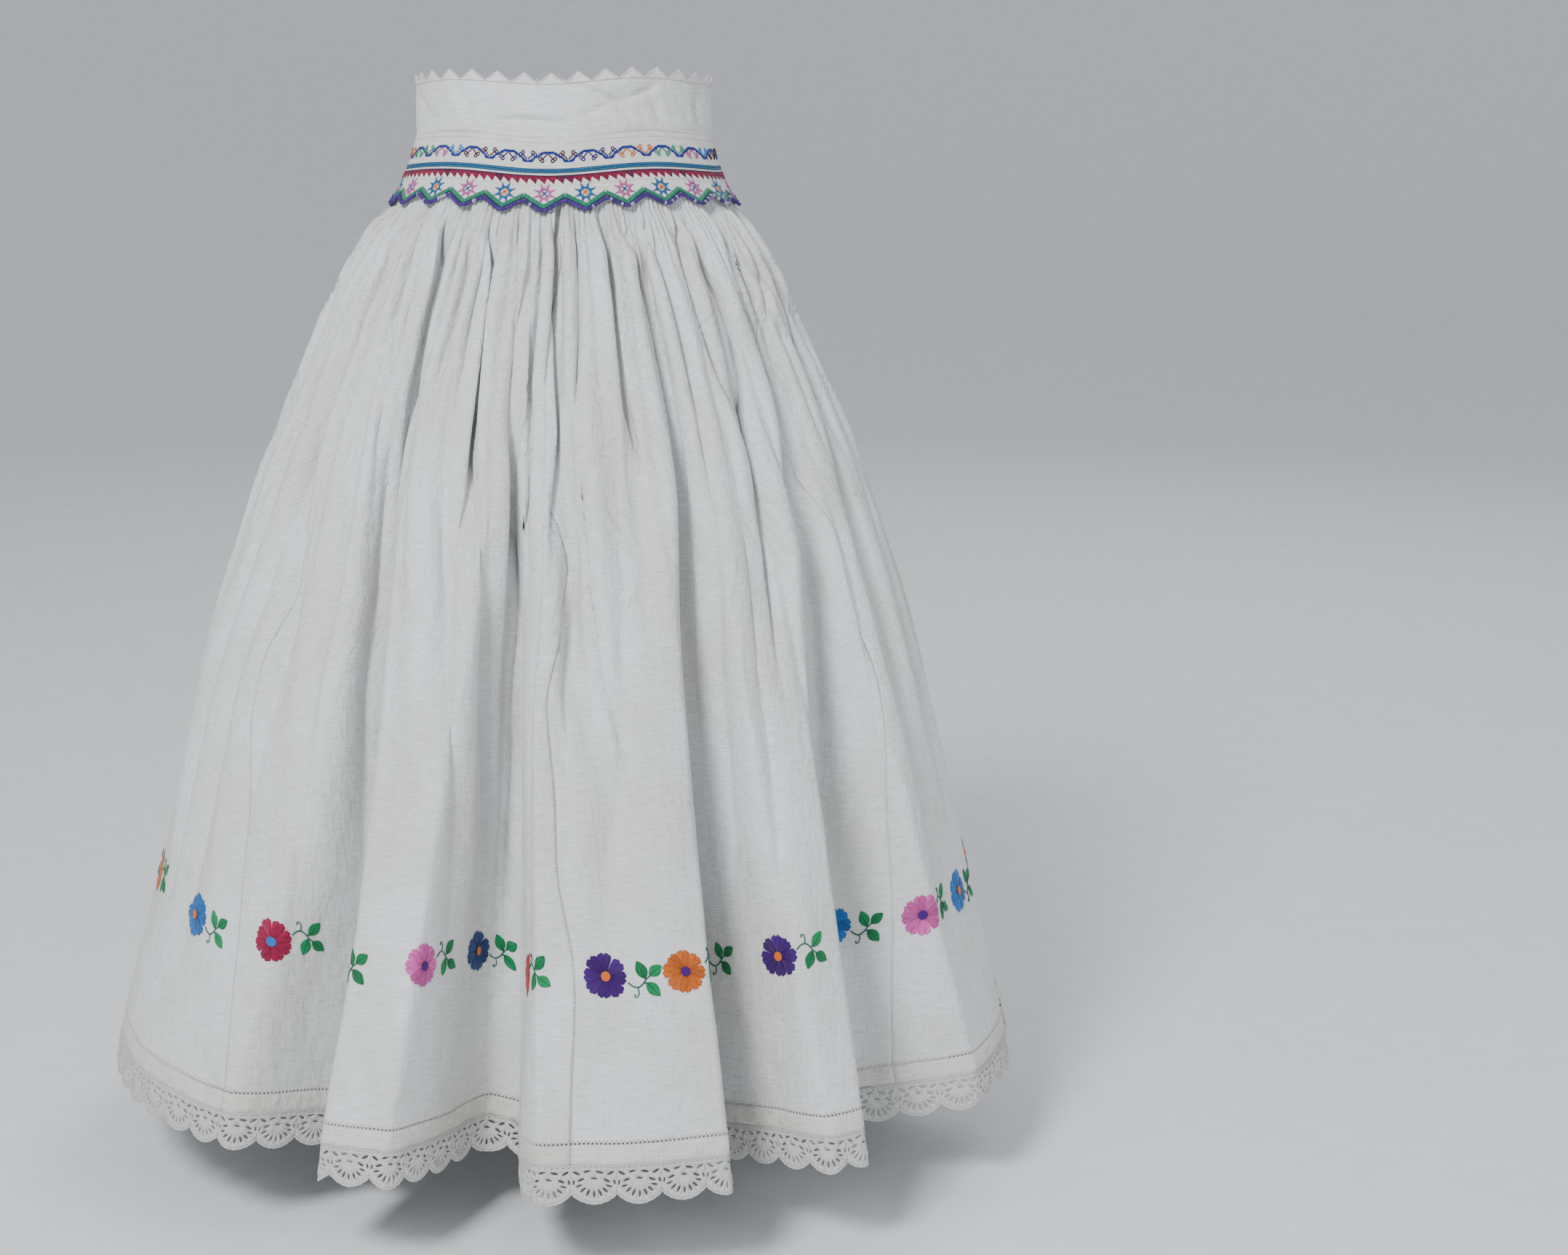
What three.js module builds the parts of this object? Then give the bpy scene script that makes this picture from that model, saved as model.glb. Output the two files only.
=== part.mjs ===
// A folk skirt of homespun cloth: six gathered widths on a fitted, embroidered band, with a
// crocheted lace edging round the hem. It is filled out as when worn, and hollow.
// Millimetres, +Z up. The front faces -Y. The origin is the centre of the waist, 7 mm under
// the seam between the plain band and the embroidered band. Angles run from +X towards +Y.

import * as THREE from "three";

// Thicknesses and gaps
const CLOTH = 1.4;
const HEM_CLOTH = 2.2;
const LACE = 1.6;
const WAISTBAND_CLOTH = 2;
const EMBROIDERED_CLOTH = 1.6;
const POINTS_CLOTH = 2.2;
const SEAM_GAP = 0.3;

// The waist, and the counts of what repeats round the skirt
const DEPTH_DIFFERENCE = 28;
const PANELS = 6;
const GATHERS = 180;
const TOP_POINTS = 31;
const ZIGZAG_TEETH = 24;
const SCALLOPS = 108;
const FRONT_SEAM_ANGLE = -89.5;

// A band is flatter at the front and back than at its sides. Turning this share faster there
// makes equal shares of a turn equal lengths of cloth.
const FLATTER_FRONT = 0.12;

// Heights of the bands
const BAND_SEAM_Z = 7;
const BAND_TOP_Z = 49;
const POINT_VALLEY = 1.4;
const POINT_HEIGHT = 7;
const ZIGZAG_HIGH_Z = -40.5;
const ZIGZAG_LOW_Z = -49.5;
const CORD_RADIUS = 1.5;
const CORD_BELOW_EDGE = 1.75;
const CORD_SIDES = 6;

// Lengths along a thread of the skirt, from the level of the zigzag edge downwards
const TOP_DROP = -15;
const TOP_DROP_Z = -31.5;
const GATHER_DROPS = [-15, 8, 45];
const FOLD_DROPS = [95, 190, 320, 490];
const HEMSTITCH_DROP = 737;
const HEM_EDGE_DROP = 752;
const LACE_TOP_DROP = 752.8;
const LACE_VALLEY_DROP = 773.5;
const LACE_LOW_DROP = 782;

// Outer half width of the two bands at each height. The half depth is smaller by
// DEPTH_DIFFERENCE.
const BAND_PROFILE = [
  { at: 60, halfWidth: 123.2 },
  { at: 49, halfWidth: 122.6 },
  { at: 26, halfWidth: 122.4 },
  { at: 14, halfWidth: 122.3 },
  { at: 7, halfWidth: 122.2 },
  { at: -10, halfWidth: 126.2 },
  { at: -24, halfWidth: 131.5 },
  { at: -38, halfWidth: 137.7 },
  { at: -46, halfWidth: 142 },
  { at: -54, halfWidth: 146.8 },
];

// Outer form of the skirt without its folds, by length along the thread
const ENVELOPE = [
  { at: -15, halfWidth: 131.1, halfDepth: 103.1 },
  { at: 0, halfWidth: 137.7, halfDepth: 109.7 },
  { at: 8, halfWidth: 141.2, halfDepth: 113.2 },
  { at: 16, halfWidth: 147.2, halfDepth: 118.4 },
  { at: 40, halfWidth: 161, halfDepth: 130 },
  { at: 90, halfWidth: 186, halfDepth: 152 },
  { at: 150, halfWidth: 210, halfDepth: 175 },
  { at: 225, halfWidth: 240, halfDepth: 204 },
  { at: 300, halfWidth: 266, halfDepth: 230 },
  { at: 400, halfWidth: 298, halfDepth: 260 },
  { at: 500, halfWidth: 325, halfDepth: 286 },
  { at: 600, halfWidth: 350, halfDepth: 310 },
  { at: 700, halfWidth: 377, halfDepth: 334 },
  { at: 790, halfWidth: 397, halfDepth: 353 },
];

// Height of the gathers' waves either side of the skirt's form
const GATHER_WAVE = [
  { at: -15, height: 0.8 },
  { at: 8, height: 1.2 },
  { at: 45, height: 2.1 },
  { at: 95, height: 2.8 },
  { at: 190, height: 2.4 },
  { at: 320, height: 1.1 },
  { at: 490, height: 0 },
];

// The valleys between the folds: a row for each one, with its angle in degrees and its depth
// at each of these drops. The half width runs from the upper value to the lower one, and
// floor is the share of it that is flat.
const VALLEY_DROPS = [60, 200, 350, 500, 740];
const VALLEYS = [
  { angle: [-132, -130, -127, -126, -129], depth: [10, 28, 46, 66, 96], half: [5, 8], floor: 0.1 },
  { angle: [-114, -112, -111, -110, -110], depth: [7, 12, 4, 0, 0], half: [4.5, 5], floor: 0 },
  { angle: [-99, -99, -101, -102, -103], depth: [6, 14, 44, 84, 134], half: [4, 10], floor: 0.3 },
  { angle: [-92, -91, -88, -83, -84], depth: [8, 12, 17, 8, 0], half: [4, 5], floor: 0 },
  { angle: [-74, -73, -74, -75, -75], depth: [6, 10, 3, 0, 0], half: [4, 5], floor: 0 },
  { angle: [-64, -63, -64, -64, -62], depth: [8, 16, 42, 76, 122], half: [4, 7.5], floor: 0.2 },
  { angle: [-42, -45, -50, -51, -50], depth: [7, 14, 10, 3, 0], half: [4.5, 5], floor: 0 },
  { angle: [-28, -33, -38, -39, -38], depth: [6, 14, 30, 58, 86], half: [4, 12.5], floor: 0.45 },
  { angle: [-14, -19, -20, -22, -22], depth: [5, 10, 9, 3, 0], half: [4.5, 5], floor: 0 },
  { angle: [-1, -5, -6, -5, -4], depth: [6, 12, 30, 46, 54], half: [4, 6], floor: 0 },
  { angle: [15, 12, 14, 16, 13], depth: [8, 18, 36, 58, 84], half: [5, 8], floor: 0.1 },
  { angle: [28, 29, 27, 28, 28], depth: [6, 10, 5, 0, 0], half: [4, 5], floor: 0 },
  { angle: [42, 42, 39, 38, 40], depth: [6, 16, 34, 62, 100], half: [4, 9], floor: 0.2 },
  { angle: [54, 53, 55, 54, 54], depth: [5, 12, 7, 2, 0], half: [4.5, 5], floor: 0 },
  { angle: [67, 64, 66, 65, 63], depth: [8, 20, 38, 58, 80], half: [5, 7], floor: 0 },
  { angle: [80, 79, 78, 79, 79], depth: [6, 11, 4, 0, 0], half: [4, 5], floor: 0 },
  { angle: [92, 94, 92, 96, 94], depth: [5, 12, 30, 56, 96], half: [4, 9], floor: 0.2 },
  { angle: [106, 105, 107, 106, 106], depth: [6, 12, 6, 0, 0], half: [4.5, 5], floor: 0 },
  { angle: [118, 117, 119, 117, 120], depth: [7, 18, 40, 64, 88], half: [5, 8], floor: 0.1 },
  { angle: [132, 131, 130, 131, 131], depth: [5, 10, 5, 0, 0], half: [4, 5], floor: 0 },
  { angle: [146, 147, 143, 145, 143], depth: [8, 20, 42, 70, 108], half: [4.5, 9], floor: 0.25 },
  { angle: [158, 158, 157, 158, 158], depth: [6, 12, 5, 0, 0], half: [4, 5], floor: 0 },
  { angle: [170, 171, 169, 168, 170], depth: [7, 14, 32, 54, 78], half: [5, 7.5], floor: 0 },
  { angle: [207, 208, 215, 219, 219], depth: [7, 14, 8, 0, 0], half: [4.5, 6], floor: 0 },
];

// How finely the skirt's form is worked out
const ANGLE_STEPS = 1440;
const THREADS = 720;
const DROP_STEP = 8;

// Colours
const ECRU = 0xc9c7c0;
const CREAM = 0xd2cfc4;
const LACE_WHITE = 0xd6d4cd;
const STRAW = 0xd8c88e;
const PLUM = 0x4a3558;
const BONE = 0xd9d2c0;

// A smooth curve through a table's column, read at one value
function read(rows, column, at) {
  const last = rows.length - 1;
  let i = 0;
  while (i < last - 1 && rows[i + 1].at < at === (rows[0].at < rows[1].at)) i += 1;
  const point = (k) => rows[Math.min(Math.max(k, 0), last)];
  const slope = (k) => {
    const before = point(k - 1);
    const after = point(k + 1);
    return (after[column] - before[column]) / (after.at - before.at);
  };
  const start = point(i);
  const end = point(i + 1);
  const span = end.at - start.at;
  const t = Math.min(Math.max((at - start.at) / span, 0), 1);
  const a = (2 * t - 3) * t * t + 1;
  const b = ((t - 2) * t + 1) * t * span;
  const c = (3 - 2 * t) * t * t;
  const d = (t - 1) * t * t * span;
  return a * start[column] + b * slope(i) + c * end[column] + d * slope(i + 1);
}

const degrees = (angle) => (angle * Math.PI) / 180;

function ellipseRadius(angle, halfWidth, halfDepth) {
  const across = halfDepth * Math.cos(angle);
  const along = halfWidth * Math.sin(angle);
  return (halfWidth * halfDepth) / Math.hypot(across, along);
}

// Each valley's angle, half width and depth at one drop
function valleysAt(drop) {
  const column = (values) => values.map((value, k) => ({ at: VALLEY_DROPS[k], value }));
  const low = (drop - VALLEY_DROPS[0]) / (VALLEY_DROPS.at(-1) - VALLEY_DROPS[0]);
  const share = Math.min(Math.max(low, 0), 1);
  const fade = Math.min((drop - TOP_DROP) / (VALLEY_DROPS[0] - TOP_DROP), 1);
  return VALLEYS.map((valley) => ({
    angle: read(column(valley.angle), "value", drop),
    depth: Math.max(read(column(valley.depth), "value", drop), 0) * fade,
    half: valley.half[0] + (valley.half[1] - valley.half[0]) * share,
    floor: valley.floor,
  }));
}

// How far all valleys together bring the cloth in at one angle, in degrees
function inwardAt(angle, valleys) {
  let sum = 0;
  for (const valley of valleys) {
    const turn = ((angle - valley.angle + 540) % 360) - 180;
    const away = Math.abs(turn) / valley.half;
    if (away < 1) {
      const t = Math.max(away - valley.floor, 0) / (1 - valley.floor);
      sum += (valley.depth * (1 + Math.cos(Math.PI * t))) / 2;
    }
  }
  return sum;
}

// One level of the skirt's form, as threads spaced evenly along the cloth
function levelAt(drop) {
  const valleys = valleysAt(drop);
  const halfWidth = read(ENVELOPE, "halfWidth", drop);
  const halfDepth = read(ENVELOPE, "halfDepth", drop);
  const curve = [];
  const lengths = [0];
  for (let i = 0; i <= ANGLE_STEPS; i += 1) {
    const angle = FRONT_SEAM_ANGLE + (360 * i) / ANGLE_STEPS;
    const full = ellipseRadius(degrees(angle), halfWidth, halfDepth);
    const radius = full - inwardAt(angle, valleys);
    const point = new THREE.Vector2(radius, 0).rotateAround(new THREE.Vector2(), degrees(angle));
    if (i > 0) lengths.push(lengths[i - 1] + point.distanceTo(curve[i - 1]));
    curve.push(point);
  }
  const threads = [];
  let i = 0;
  for (let k = 0; k < THREADS; k += 1) {
    const along = (lengths[ANGLE_STEPS] * k) / THREADS;
    while (lengths[i + 1] < along) i += 1;
    const t = (along - lengths[i]) / (lengths[i + 1] - lengths[i]);
    threads.push(curve[i].clone().lerp(curve[i + 1], t));
  }
  return threads;
}

// The whole form: every thread keeps its length, so it hangs lower where it runs inwards
function drape() {
  const levels = [];
  for (let drop = TOP_DROP; drop < LACE_LOW_DROP + DROP_STEP; drop += DROP_STEP) {
    const above = levels.at(-1);
    const level = levelAt(drop).map((point, k) => {
      if (!above) return new THREE.Vector3(point.x, point.y, TOP_DROP_Z);
      const sideways = Math.hypot(point.x - above[k].x, point.y - above[k].y);
      const fall = Math.sqrt(Math.max(DROP_STEP ** 2 - sideways ** 2, 1));
      return new THREE.Vector3(point.x, point.y, above[k].z - fall);
    });
    levels.push(level);
  }
  return levels;
}

const FORM = drape();

// A point of the form: share runs once round the cloth from the front seam
function formPoint(share, drop) {
  const row = (drop - TOP_DROP) / DROP_STEP;
  const column = (((share % 1) + 1) % 1) * THREADS;
  const i = Math.min(Math.floor(row), FORM.length - 2);
  const k = Math.floor(column) % THREADS;
  const next = (k + 1) % THREADS;
  const t = column - Math.floor(column);
  const upper = FORM[i][k].clone().lerp(FORM[i][next], t);
  const lower = FORM[i + 1][k].clone().lerp(FORM[i + 1][next], t);
  return upper.lerp(lower, row - i);
}

// A wall through rings: outer and inner points and the way along the cloth at each of them
function ringWall(outer, thickness) {
  const count = outer.length;
  const normalOf = (from, to) => new THREE.Vector2(to.y - from.y, from.x - to.x).normalize();
  return outer.map((point, k) => {
    const before = normalOf(outer[(k + count - 1) % count], point);
    const after = normalOf(point, outer[(k + 1) % count]);
    const normal = before.clone().add(after).normalize();
    const reach = thickness / Math.max(normal.dot(after), 0.55);
    const inward = new THREE.Vector3(-normal.x * reach, -normal.y * reach, 0);
    const along = new THREE.Vector3(-normal.y, normal.x, 0);
    return { outer: point, inner: point.clone().add(inward), along };
  });
}

function shifted(pair, distance) {
  const move = pair.along.clone().multiplyScalar(distance);
  return { outer: pair.outer.clone().add(move), inner: pair.inner.clone().add(move) };
}

// Collects triangles of a wall whose outer and inner skins share one layout
class Wall {
  constructor() {
    this.points = [];
  }

  triangle(a, b, c) {
    this.points.push(a.outer, b.outer, c.outer, a.inner, c.inner, b.inner);
  }

  rim(from, to) {
    this.points.push(from.outer, from.inner, to.inner, from.outer, to.inner, to.outer);
  }

  // The rim of a seam's far side, divided like the near side of the next piece
  farRim(from, to) {
    this.points.push(from.outer, from.inner, to.outer, from.inner, to.inner, to.outer);
  }

  // Rows from the top down, each from left to right as seen from outside. A row may have
  // half as many steps as the one above it.
  rows(rows, closed) {
    for (let i = 0; i < rows.length - 1; i += 1) {
      const top = rows[i];
      const low = rows[i + 1];
      const halved = top.length > low.length;
      for (let k = 0; k < low.length - 1; k += 1) {
        if (halved) {
          this.triangle(low[k], low[k + 1], top[2 * k + 1]);
          this.triangle(low[k + 1], top[2 * k + 2], top[2 * k + 1]);
          this.triangle(low[k], top[2 * k + 1], top[2 * k]);
        } else {
          this.triangle(low[k], low[k + 1], top[k + 1]);
          this.triangle(low[k], top[k + 1], top[k]);
        }
      }
      if (!closed) {
        this.rim(top[0], low[0]);
        this.farRim(low.at(-1), top.at(-1));
      }
    }
    const first = rows[0];
    const last = rows.at(-1);
    for (let k = 0; k < first.length - 1; k += 1) this.rim(first[k + 1], first[k]);
    for (let k = 0; k < last.length - 1; k += 1) this.rim(last[k], last[k + 1]);
    return this;
  }

  mesh(name, material) {
    const geometry = new THREE.BufferGeometry().setFromPoints(this.points);
    geometry.computeVertexNormals();
    const mesh = new THREE.Mesh(geometry, material);
    mesh.name = name;
    return mesh;
  }
}

function material(color, roughness) {
  return new THREE.MeshStandardMaterial({ color, roughness, metalness: 0 });
}

// The skirt's widths

// A number between 0 and 1 that looks random and is the same each time
function scatter(k) {
  const value = Math.sin(k * 12.9898 + 4.1) * 43758.5453;
  return value - Math.floor(value);
}

// One level of gathered cloth: each column stands in turn out of the form and behind it
function gatheredRing(drop, columns, thickness) {
  const height = drop < FOLD_DROPS.at(-1) ? read(GATHER_WAVE, "height", drop) : 0;
  const base = Array.from({ length: columns }, (_, k) => formPoint(k / columns, drop));
  const outer = ringWall(base, 1).map((pair, k) => {
    const side = k % 2 === 0 ? 1 : -1;
    const out = side * height * (0.8 + 0.4 * scatter(k));
    return pair.outer.clone().add(new THREE.Vector3(pair.along.y, -pair.along.x, 0).multiplyScalar(out));
  });
  return ringWall(outer, thickness);
}

// The columns of a ring that belong to one width, drawn in at its two seams
function widthOf(ring, panel, panels) {
  const per = ring.length / panels;
  const row = [];
  for (let k = 0; k <= per; k += 1) {
    const pair = ring[(panel * per + k) % ring.length];
    const inset = k === 0 ? SEAM_GAP / 2 : k === per ? -SEAM_GAP / 2 : 0;
    row.push(shifted(pair, inset));
  }
  return row;
}

function skirtPanels() {
  const rings = [
    ...GATHER_DROPS.map((drop) => gatheredRing(drop, 2 * GATHERS, CLOTH)),
    ...FOLD_DROPS.map((drop) => gatheredRing(drop, GATHERS, CLOTH)),
    gatheredRing(HEMSTITCH_DROP, GATHERS, CLOTH),
    gatheredRing(HEM_EDGE_DROP, GATHERS, HEM_CLOTH),
  ];
  return Array.from({ length: PANELS }, (_, panel) => {
    const rows = rings.map((ring) => widthOf(ring, panel, PANELS));
    return new Wall().rows(rows, false).mesh(`skirt_panel_${panel + 1}`, material(ECRU, 0.9));
  });
}

// The lace edging

// One scallop in its own units: x from 0 to 1 along the cloth, y the drop
const SCALLOP_SHOULDER = 0.27;
const EYELET_CENTRE = 0.27;
const EYELET_DROP = 764;
const EYELET_HALF_LENGTH = 3;
const EYELET_HALF_HEIGHT = 1.7;
const EYELET_SLANT = 1.1;
const CLOTH_ROUND = 3690;

function scallopOutline() {
  return [
    new THREE.Vector2(0, LACE_TOP_DROP),
    new THREE.Vector2(0, LACE_VALLEY_DROP),
    new THREE.Vector2(SCALLOP_SHOULDER, LACE_LOW_DROP),
    new THREE.Vector2(1 - SCALLOP_SHOULDER, LACE_LOW_DROP),
    new THREE.Vector2(1, LACE_VALLEY_DROP),
    new THREE.Vector2(1, LACE_TOP_DROP),
    new THREE.Vector2(0.5, LACE_TOP_DROP),
  ];
}

// An eyelet's corners, turned so that the two of a scallop lean towards each other
function eyeletOutline(centre, slant) {
  const reach = (EYELET_HALF_LENGTH * SCALLOPS) / CLOTH_ROUND;
  return [
    new THREE.Vector2(centre - reach, EYELET_DROP + slant),
    new THREE.Vector2(centre, EYELET_DROP - EYELET_HALF_HEIGHT),
    new THREE.Vector2(centre + reach, EYELET_DROP - slant),
    new THREE.Vector2(centre, EYELET_DROP + EYELET_HALF_HEIGHT),
  ];
}

function lacePair(share, drop, inset) {
  const near = 0.0004;
  const point = formPoint(share, drop);
  const along = formPoint(share + near, drop).sub(formPoint(share - near, drop));
  along.z = 0;
  along.normalize();
  const inward = new THREE.Vector3(-along.y, along.x, 0).multiplyScalar(LACE);
  return shifted({ outer: point, inner: point.clone().add(inward), along }, inset);
}

function laceLength(index) {
  const wall = new Wall();
  const per = SCALLOPS / PANELS;
  const outline = scallopOutline();
  const eyelets = [
    eyeletOutline(EYELET_CENTRE, EYELET_SLANT),
    eyeletOutline(1 - EYELET_CENTRE, -EYELET_SLANT),
  ];
  const faces = THREE.ShapeUtils.triangulateShape(outline, eyelets);
  for (let k = 0; k < per; k += 1) {
    const place = (p) => {
      const atStart = k === 0 && p.x === 0;
      const atEnd = k === per - 1 && p.x === 1;
      const inset = atStart ? SEAM_GAP / 2 : atEnd ? -SEAM_GAP / 2 : 0;
      return lacePair((index * per + k + p.x) / SCALLOPS, p.y, inset);
    };
    const flat = [outline, ...eyelets].flat();
    const pairs = flat.map(place);
    for (const [a, b, c] of faces) {
      const side = flat[b].clone().sub(flat[a]).cross(flat[c].clone().sub(flat[a]));
      if (side < 0) wall.triangle(pairs[a], pairs[b], pairs[c]);
      else wall.triangle(pairs[a], pairs[c], pairs[b]);
    }
    const lastCorner = outline.length - 1;
    for (let i = 0; i <= lastCorner; i += 1) {
      const next = i === lastCorner ? 0 : i + 1;
      const atSide = outline[i].x === outline[next].x;
      const isEnd = outline[i].x === 0 ? k === 0 : k === per - 1;
      if (!atSide || isEnd) wall.rim(pairs[i], pairs[next]);
    }
    for (let hole = 0; hole < eyelets.length; hole += 1) {
      const first = outline.length + 4 * hole;
      for (let i = 0; i < 4; i += 1) wall.rim(pairs[first + i], pairs[first + ((i + 1) % 4)]);
    }
  }
  return wall.mesh(`lace_${index + 1}`, material(LACE_WHITE, 0.85));
}

// The bands

function bandRadius(angle, z, out) {
  const halfWidth = read(BAND_PROFILE, "halfWidth", z) + out;
  return ellipseRadius(angle, halfWidth, halfWidth - DEPTH_DIFFERENCE);
}

function bandPoint(turn, z, out) {
  const even = degrees(FRONT_SEAM_ANGLE) + 2 * Math.PI * turn;
  const angle = even - (FLATTER_FRONT / 2) * Math.sin(2 * even);
  const radius = bandRadius(angle, z, out);
  return new THREE.Vector3(radius * Math.cos(angle), radius * Math.sin(angle), z);
}

function closedRow(count, heightAt, thickness) {
  const outer = Array.from({ length: count }, (_, k) => bandPoint(k / count, heightAt(k), 0));
  const ring = ringWall(outer, thickness);
  return [...ring, ring[0]];
}

// The band's top line dips a little where the cloth has worn soft
function topLine(turn) {
  return BAND_TOP_Z + 1.3 * Math.sin(2 * Math.PI * (turn + 0.1)) + 0.9 * Math.sin(6 * Math.PI * turn);
}

function waistband() {
  const count = 2 * TOP_POINTS;
  const top = closedRow(count, (k) => topLine(k / count), WAISTBAND_CLOTH);
  const low = closedRow(count, () => BAND_SEAM_Z + SEAM_GAP / 2, WAISTBAND_CLOTH);
  return new Wall().rows([top, low], true).mesh("waistband", material(CREAM, 0.9));
}

function topPoints() {
  const count = 2 * TOP_POINTS;
  const heights = [POINT_VALLEY, POINT_HEIGHT];
  const top = closedRow(count, (k) => topLine(k / count) + SEAM_GAP + heights[k % 2], POINTS_CLOTH);
  const low = closedRow(count, (k) => topLine(k / count) + SEAM_GAP, POINTS_CLOTH);
  return new Wall().rows([top, low], true).mesh("top_points", material(STRAW, 0.8));
}

function embroideredBand() {
  const count = 2 * ZIGZAG_TEETH;
  const middle = (BAND_SEAM_Z + ZIGZAG_HIGH_Z) / 2;
  const edge = [ZIGZAG_HIGH_Z, ZIGZAG_LOW_Z];
  const rows = [
    closedRow(count, () => BAND_SEAM_Z - SEAM_GAP / 2, EMBROIDERED_CLOTH),
    closedRow(count, () => middle, EMBROIDERED_CLOTH),
    closedRow(count, (k) => edge[k % 2], EMBROIDERED_CLOTH),
  ];
  return new Wall().rows(rows, true).mesh("embroidered_band", material(ECRU, 0.85));
}

// The cord along the zigzag edge, as rings of its round section
function zigzagCord() {
  const count = 2 * ZIGZAG_TEETH;
  const edge = [ZIGZAG_HIGH_Z, ZIGZAG_LOW_Z];
  const rings = Array.from({ length: count }, (_, k) => {
    const centreZ = edge[k % 2] - CORD_BELOW_EDGE;
    return Array.from({ length: CORD_SIDES }, (_, side) => {
      const angle = (2 * Math.PI * side) / CORD_SIDES;
      const centre = bandPoint(k / count, centreZ, 0);
      const outward = new THREE.Vector3(centre.x, centre.y, 0).normalize();
      centre.addScaledVector(outward, CORD_RADIUS * Math.cos(angle));
      centre.z += CORD_RADIUS * Math.sin(angle);
      return centre;
    });
  });
  const points = [];
  for (let k = 0; k < count; k += 1) {
    const here = rings[k];
    const next = rings[(k + 1) % count];
    for (let side = 0; side < CORD_SIDES; side += 1) {
      const up = (side + 1) % CORD_SIDES;
      points.push(here[side], next[side], next[up], here[side], next[up], here[up]);
    }
  }
  const geometry = new THREE.BufferGeometry().setFromPoints(points);
  geometry.computeVertexNormals();
  const mesh = new THREE.Mesh(geometry, material(PLUM, 0.7));
  mesh.name = "zigzag_cord";
  return mesh;
}

// The fastening at the centre back: a flap over both bands, with three buttons
const FLAP_HALF_TURN = 0.012;
const FLAP_CLOTH = 1.6;
const FLAP_ROWS = [
  { z: 46, out: 0.3 },
  { z: 7, out: 0.3 },
  { z: -16, out: 0.4 },
  { z: -34, out: 1.3 },
];
const BUTTON_HEIGHTS = [39, 28, 17];
const BUTTON_RADIUS = 4.5;
const BUTTON_THICKNESS = 2.2;
const BUTTON_SIDES = 14;

function backFlap() {
  const rows = FLAP_ROWS.map(({ z, out }) =>
    [-1, 0, 1].map((side) => {
      const turn = 0.5 + side * FLAP_HALF_TURN;
      const inner = bandPoint(turn, z, out);
      const outer = bandPoint(turn, z, out + FLAP_CLOTH);
      return { outer, inner };
    }),
  );
  return new Wall().rows(rows, false).mesh("back_flap", material(CREAM, 0.9));
}

function button(index) {
  const geometry = new THREE.CylinderGeometry(BUTTON_RADIUS, BUTTON_RADIUS, BUTTON_THICKNESS, BUTTON_SIDES);
  const mesh = new THREE.Mesh(geometry, material(BONE, 0.4));
  const out = SEAM_GAP + FLAP_CLOTH + SEAM_GAP + BUTTON_THICKNESS / 2;
  mesh.position.copy(bandPoint(0.5, BUTTON_HEIGHTS[index], out));
  mesh.name = `button_${index + 1}`;
  return mesh;
}

const skirt = new THREE.Group();
skirt.add(topPoints(), waistband(), embroideredBand(), zigzagCord());
skirt.add(...skirtPanels());
for (let k = 0; k < PANELS; k += 1) skirt.add(laceLength(k));
skirt.add(backFlap());
BUTTON_HEIGHTS.forEach((_, k) => skirt.add(button(k)));

export default skirt;
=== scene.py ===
# %% [markdown]
# A folk skirt, cut flat and then draped
#
# A skirt like this is made of flat pieces: six widths of homespun linen, a band, and yards
# of lace. Everything that decorates it was stitched while the cloth lay flat on a table.
# This file works the same way. Each piece starts as a flat mesh in millimetres of cloth,
# where x runs round the skirt, y runs down the thread and z stands up from the cloth. One
# function then drapes that mesh onto the filled-out form. A flower stays a flower, whatever
# fold it lands on, and the flat x and y stay behind as the UV map that carries the weave.

# %% The frame
import math

import bmesh
import bpy
import numpy as np
from mathutils import Matrix, Vector


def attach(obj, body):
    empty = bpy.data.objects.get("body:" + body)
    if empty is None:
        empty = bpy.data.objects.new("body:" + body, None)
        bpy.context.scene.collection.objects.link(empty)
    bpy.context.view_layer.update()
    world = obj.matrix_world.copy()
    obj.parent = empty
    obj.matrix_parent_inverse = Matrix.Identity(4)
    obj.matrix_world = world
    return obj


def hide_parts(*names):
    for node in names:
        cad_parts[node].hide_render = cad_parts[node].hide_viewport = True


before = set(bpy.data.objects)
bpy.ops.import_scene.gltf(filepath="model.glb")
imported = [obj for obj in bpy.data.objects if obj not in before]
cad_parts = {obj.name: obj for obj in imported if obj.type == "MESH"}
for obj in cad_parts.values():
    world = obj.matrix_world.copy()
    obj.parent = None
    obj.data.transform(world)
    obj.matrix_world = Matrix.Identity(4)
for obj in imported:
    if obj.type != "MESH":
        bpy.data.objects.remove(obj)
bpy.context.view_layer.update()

MM = 0.001

# %% [markdown]
# The camera stands 2.15 m in front of the waist, level with it, and looks down 11.3
# degrees. Those numbers were found by matching the hem, the waist and the outline of
# the skirt in the photograph, whose frame is 2156 by 1725 pixels. The skirt's centre line
# lies left of the middle of the picture, so the lens is shifted by that much.

# %% The camera
PHOTO_WIDTH = 2156
FOCAL_PIXELS = 3500
CENTRE_PIXEL = 775
SENSOR = 36

camera_data = bpy.data.cameras.new("camera")
camera_data.sensor_width = SENSOR
camera_data.lens = FOCAL_PIXELS / PHOTO_WIDTH * SENSOR
camera_data.shift_x = (PHOTO_WIDTH / 2 - CENTRE_PIXEL) / PHOTO_WIDTH
camera = bpy.data.objects.new("camera", camera_data)
camera.location = (0, -2.15, 0.02)
camera.rotation_euler = (math.radians(90 - 11.33), 0, 0)
bpy.context.scene.collection.objects.link(camera)
bpy.context.scene.camera = camera
print("lens", round(camera_data.lens, 2), "mm, shift", round(camera_data.shift_x, 4))

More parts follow.
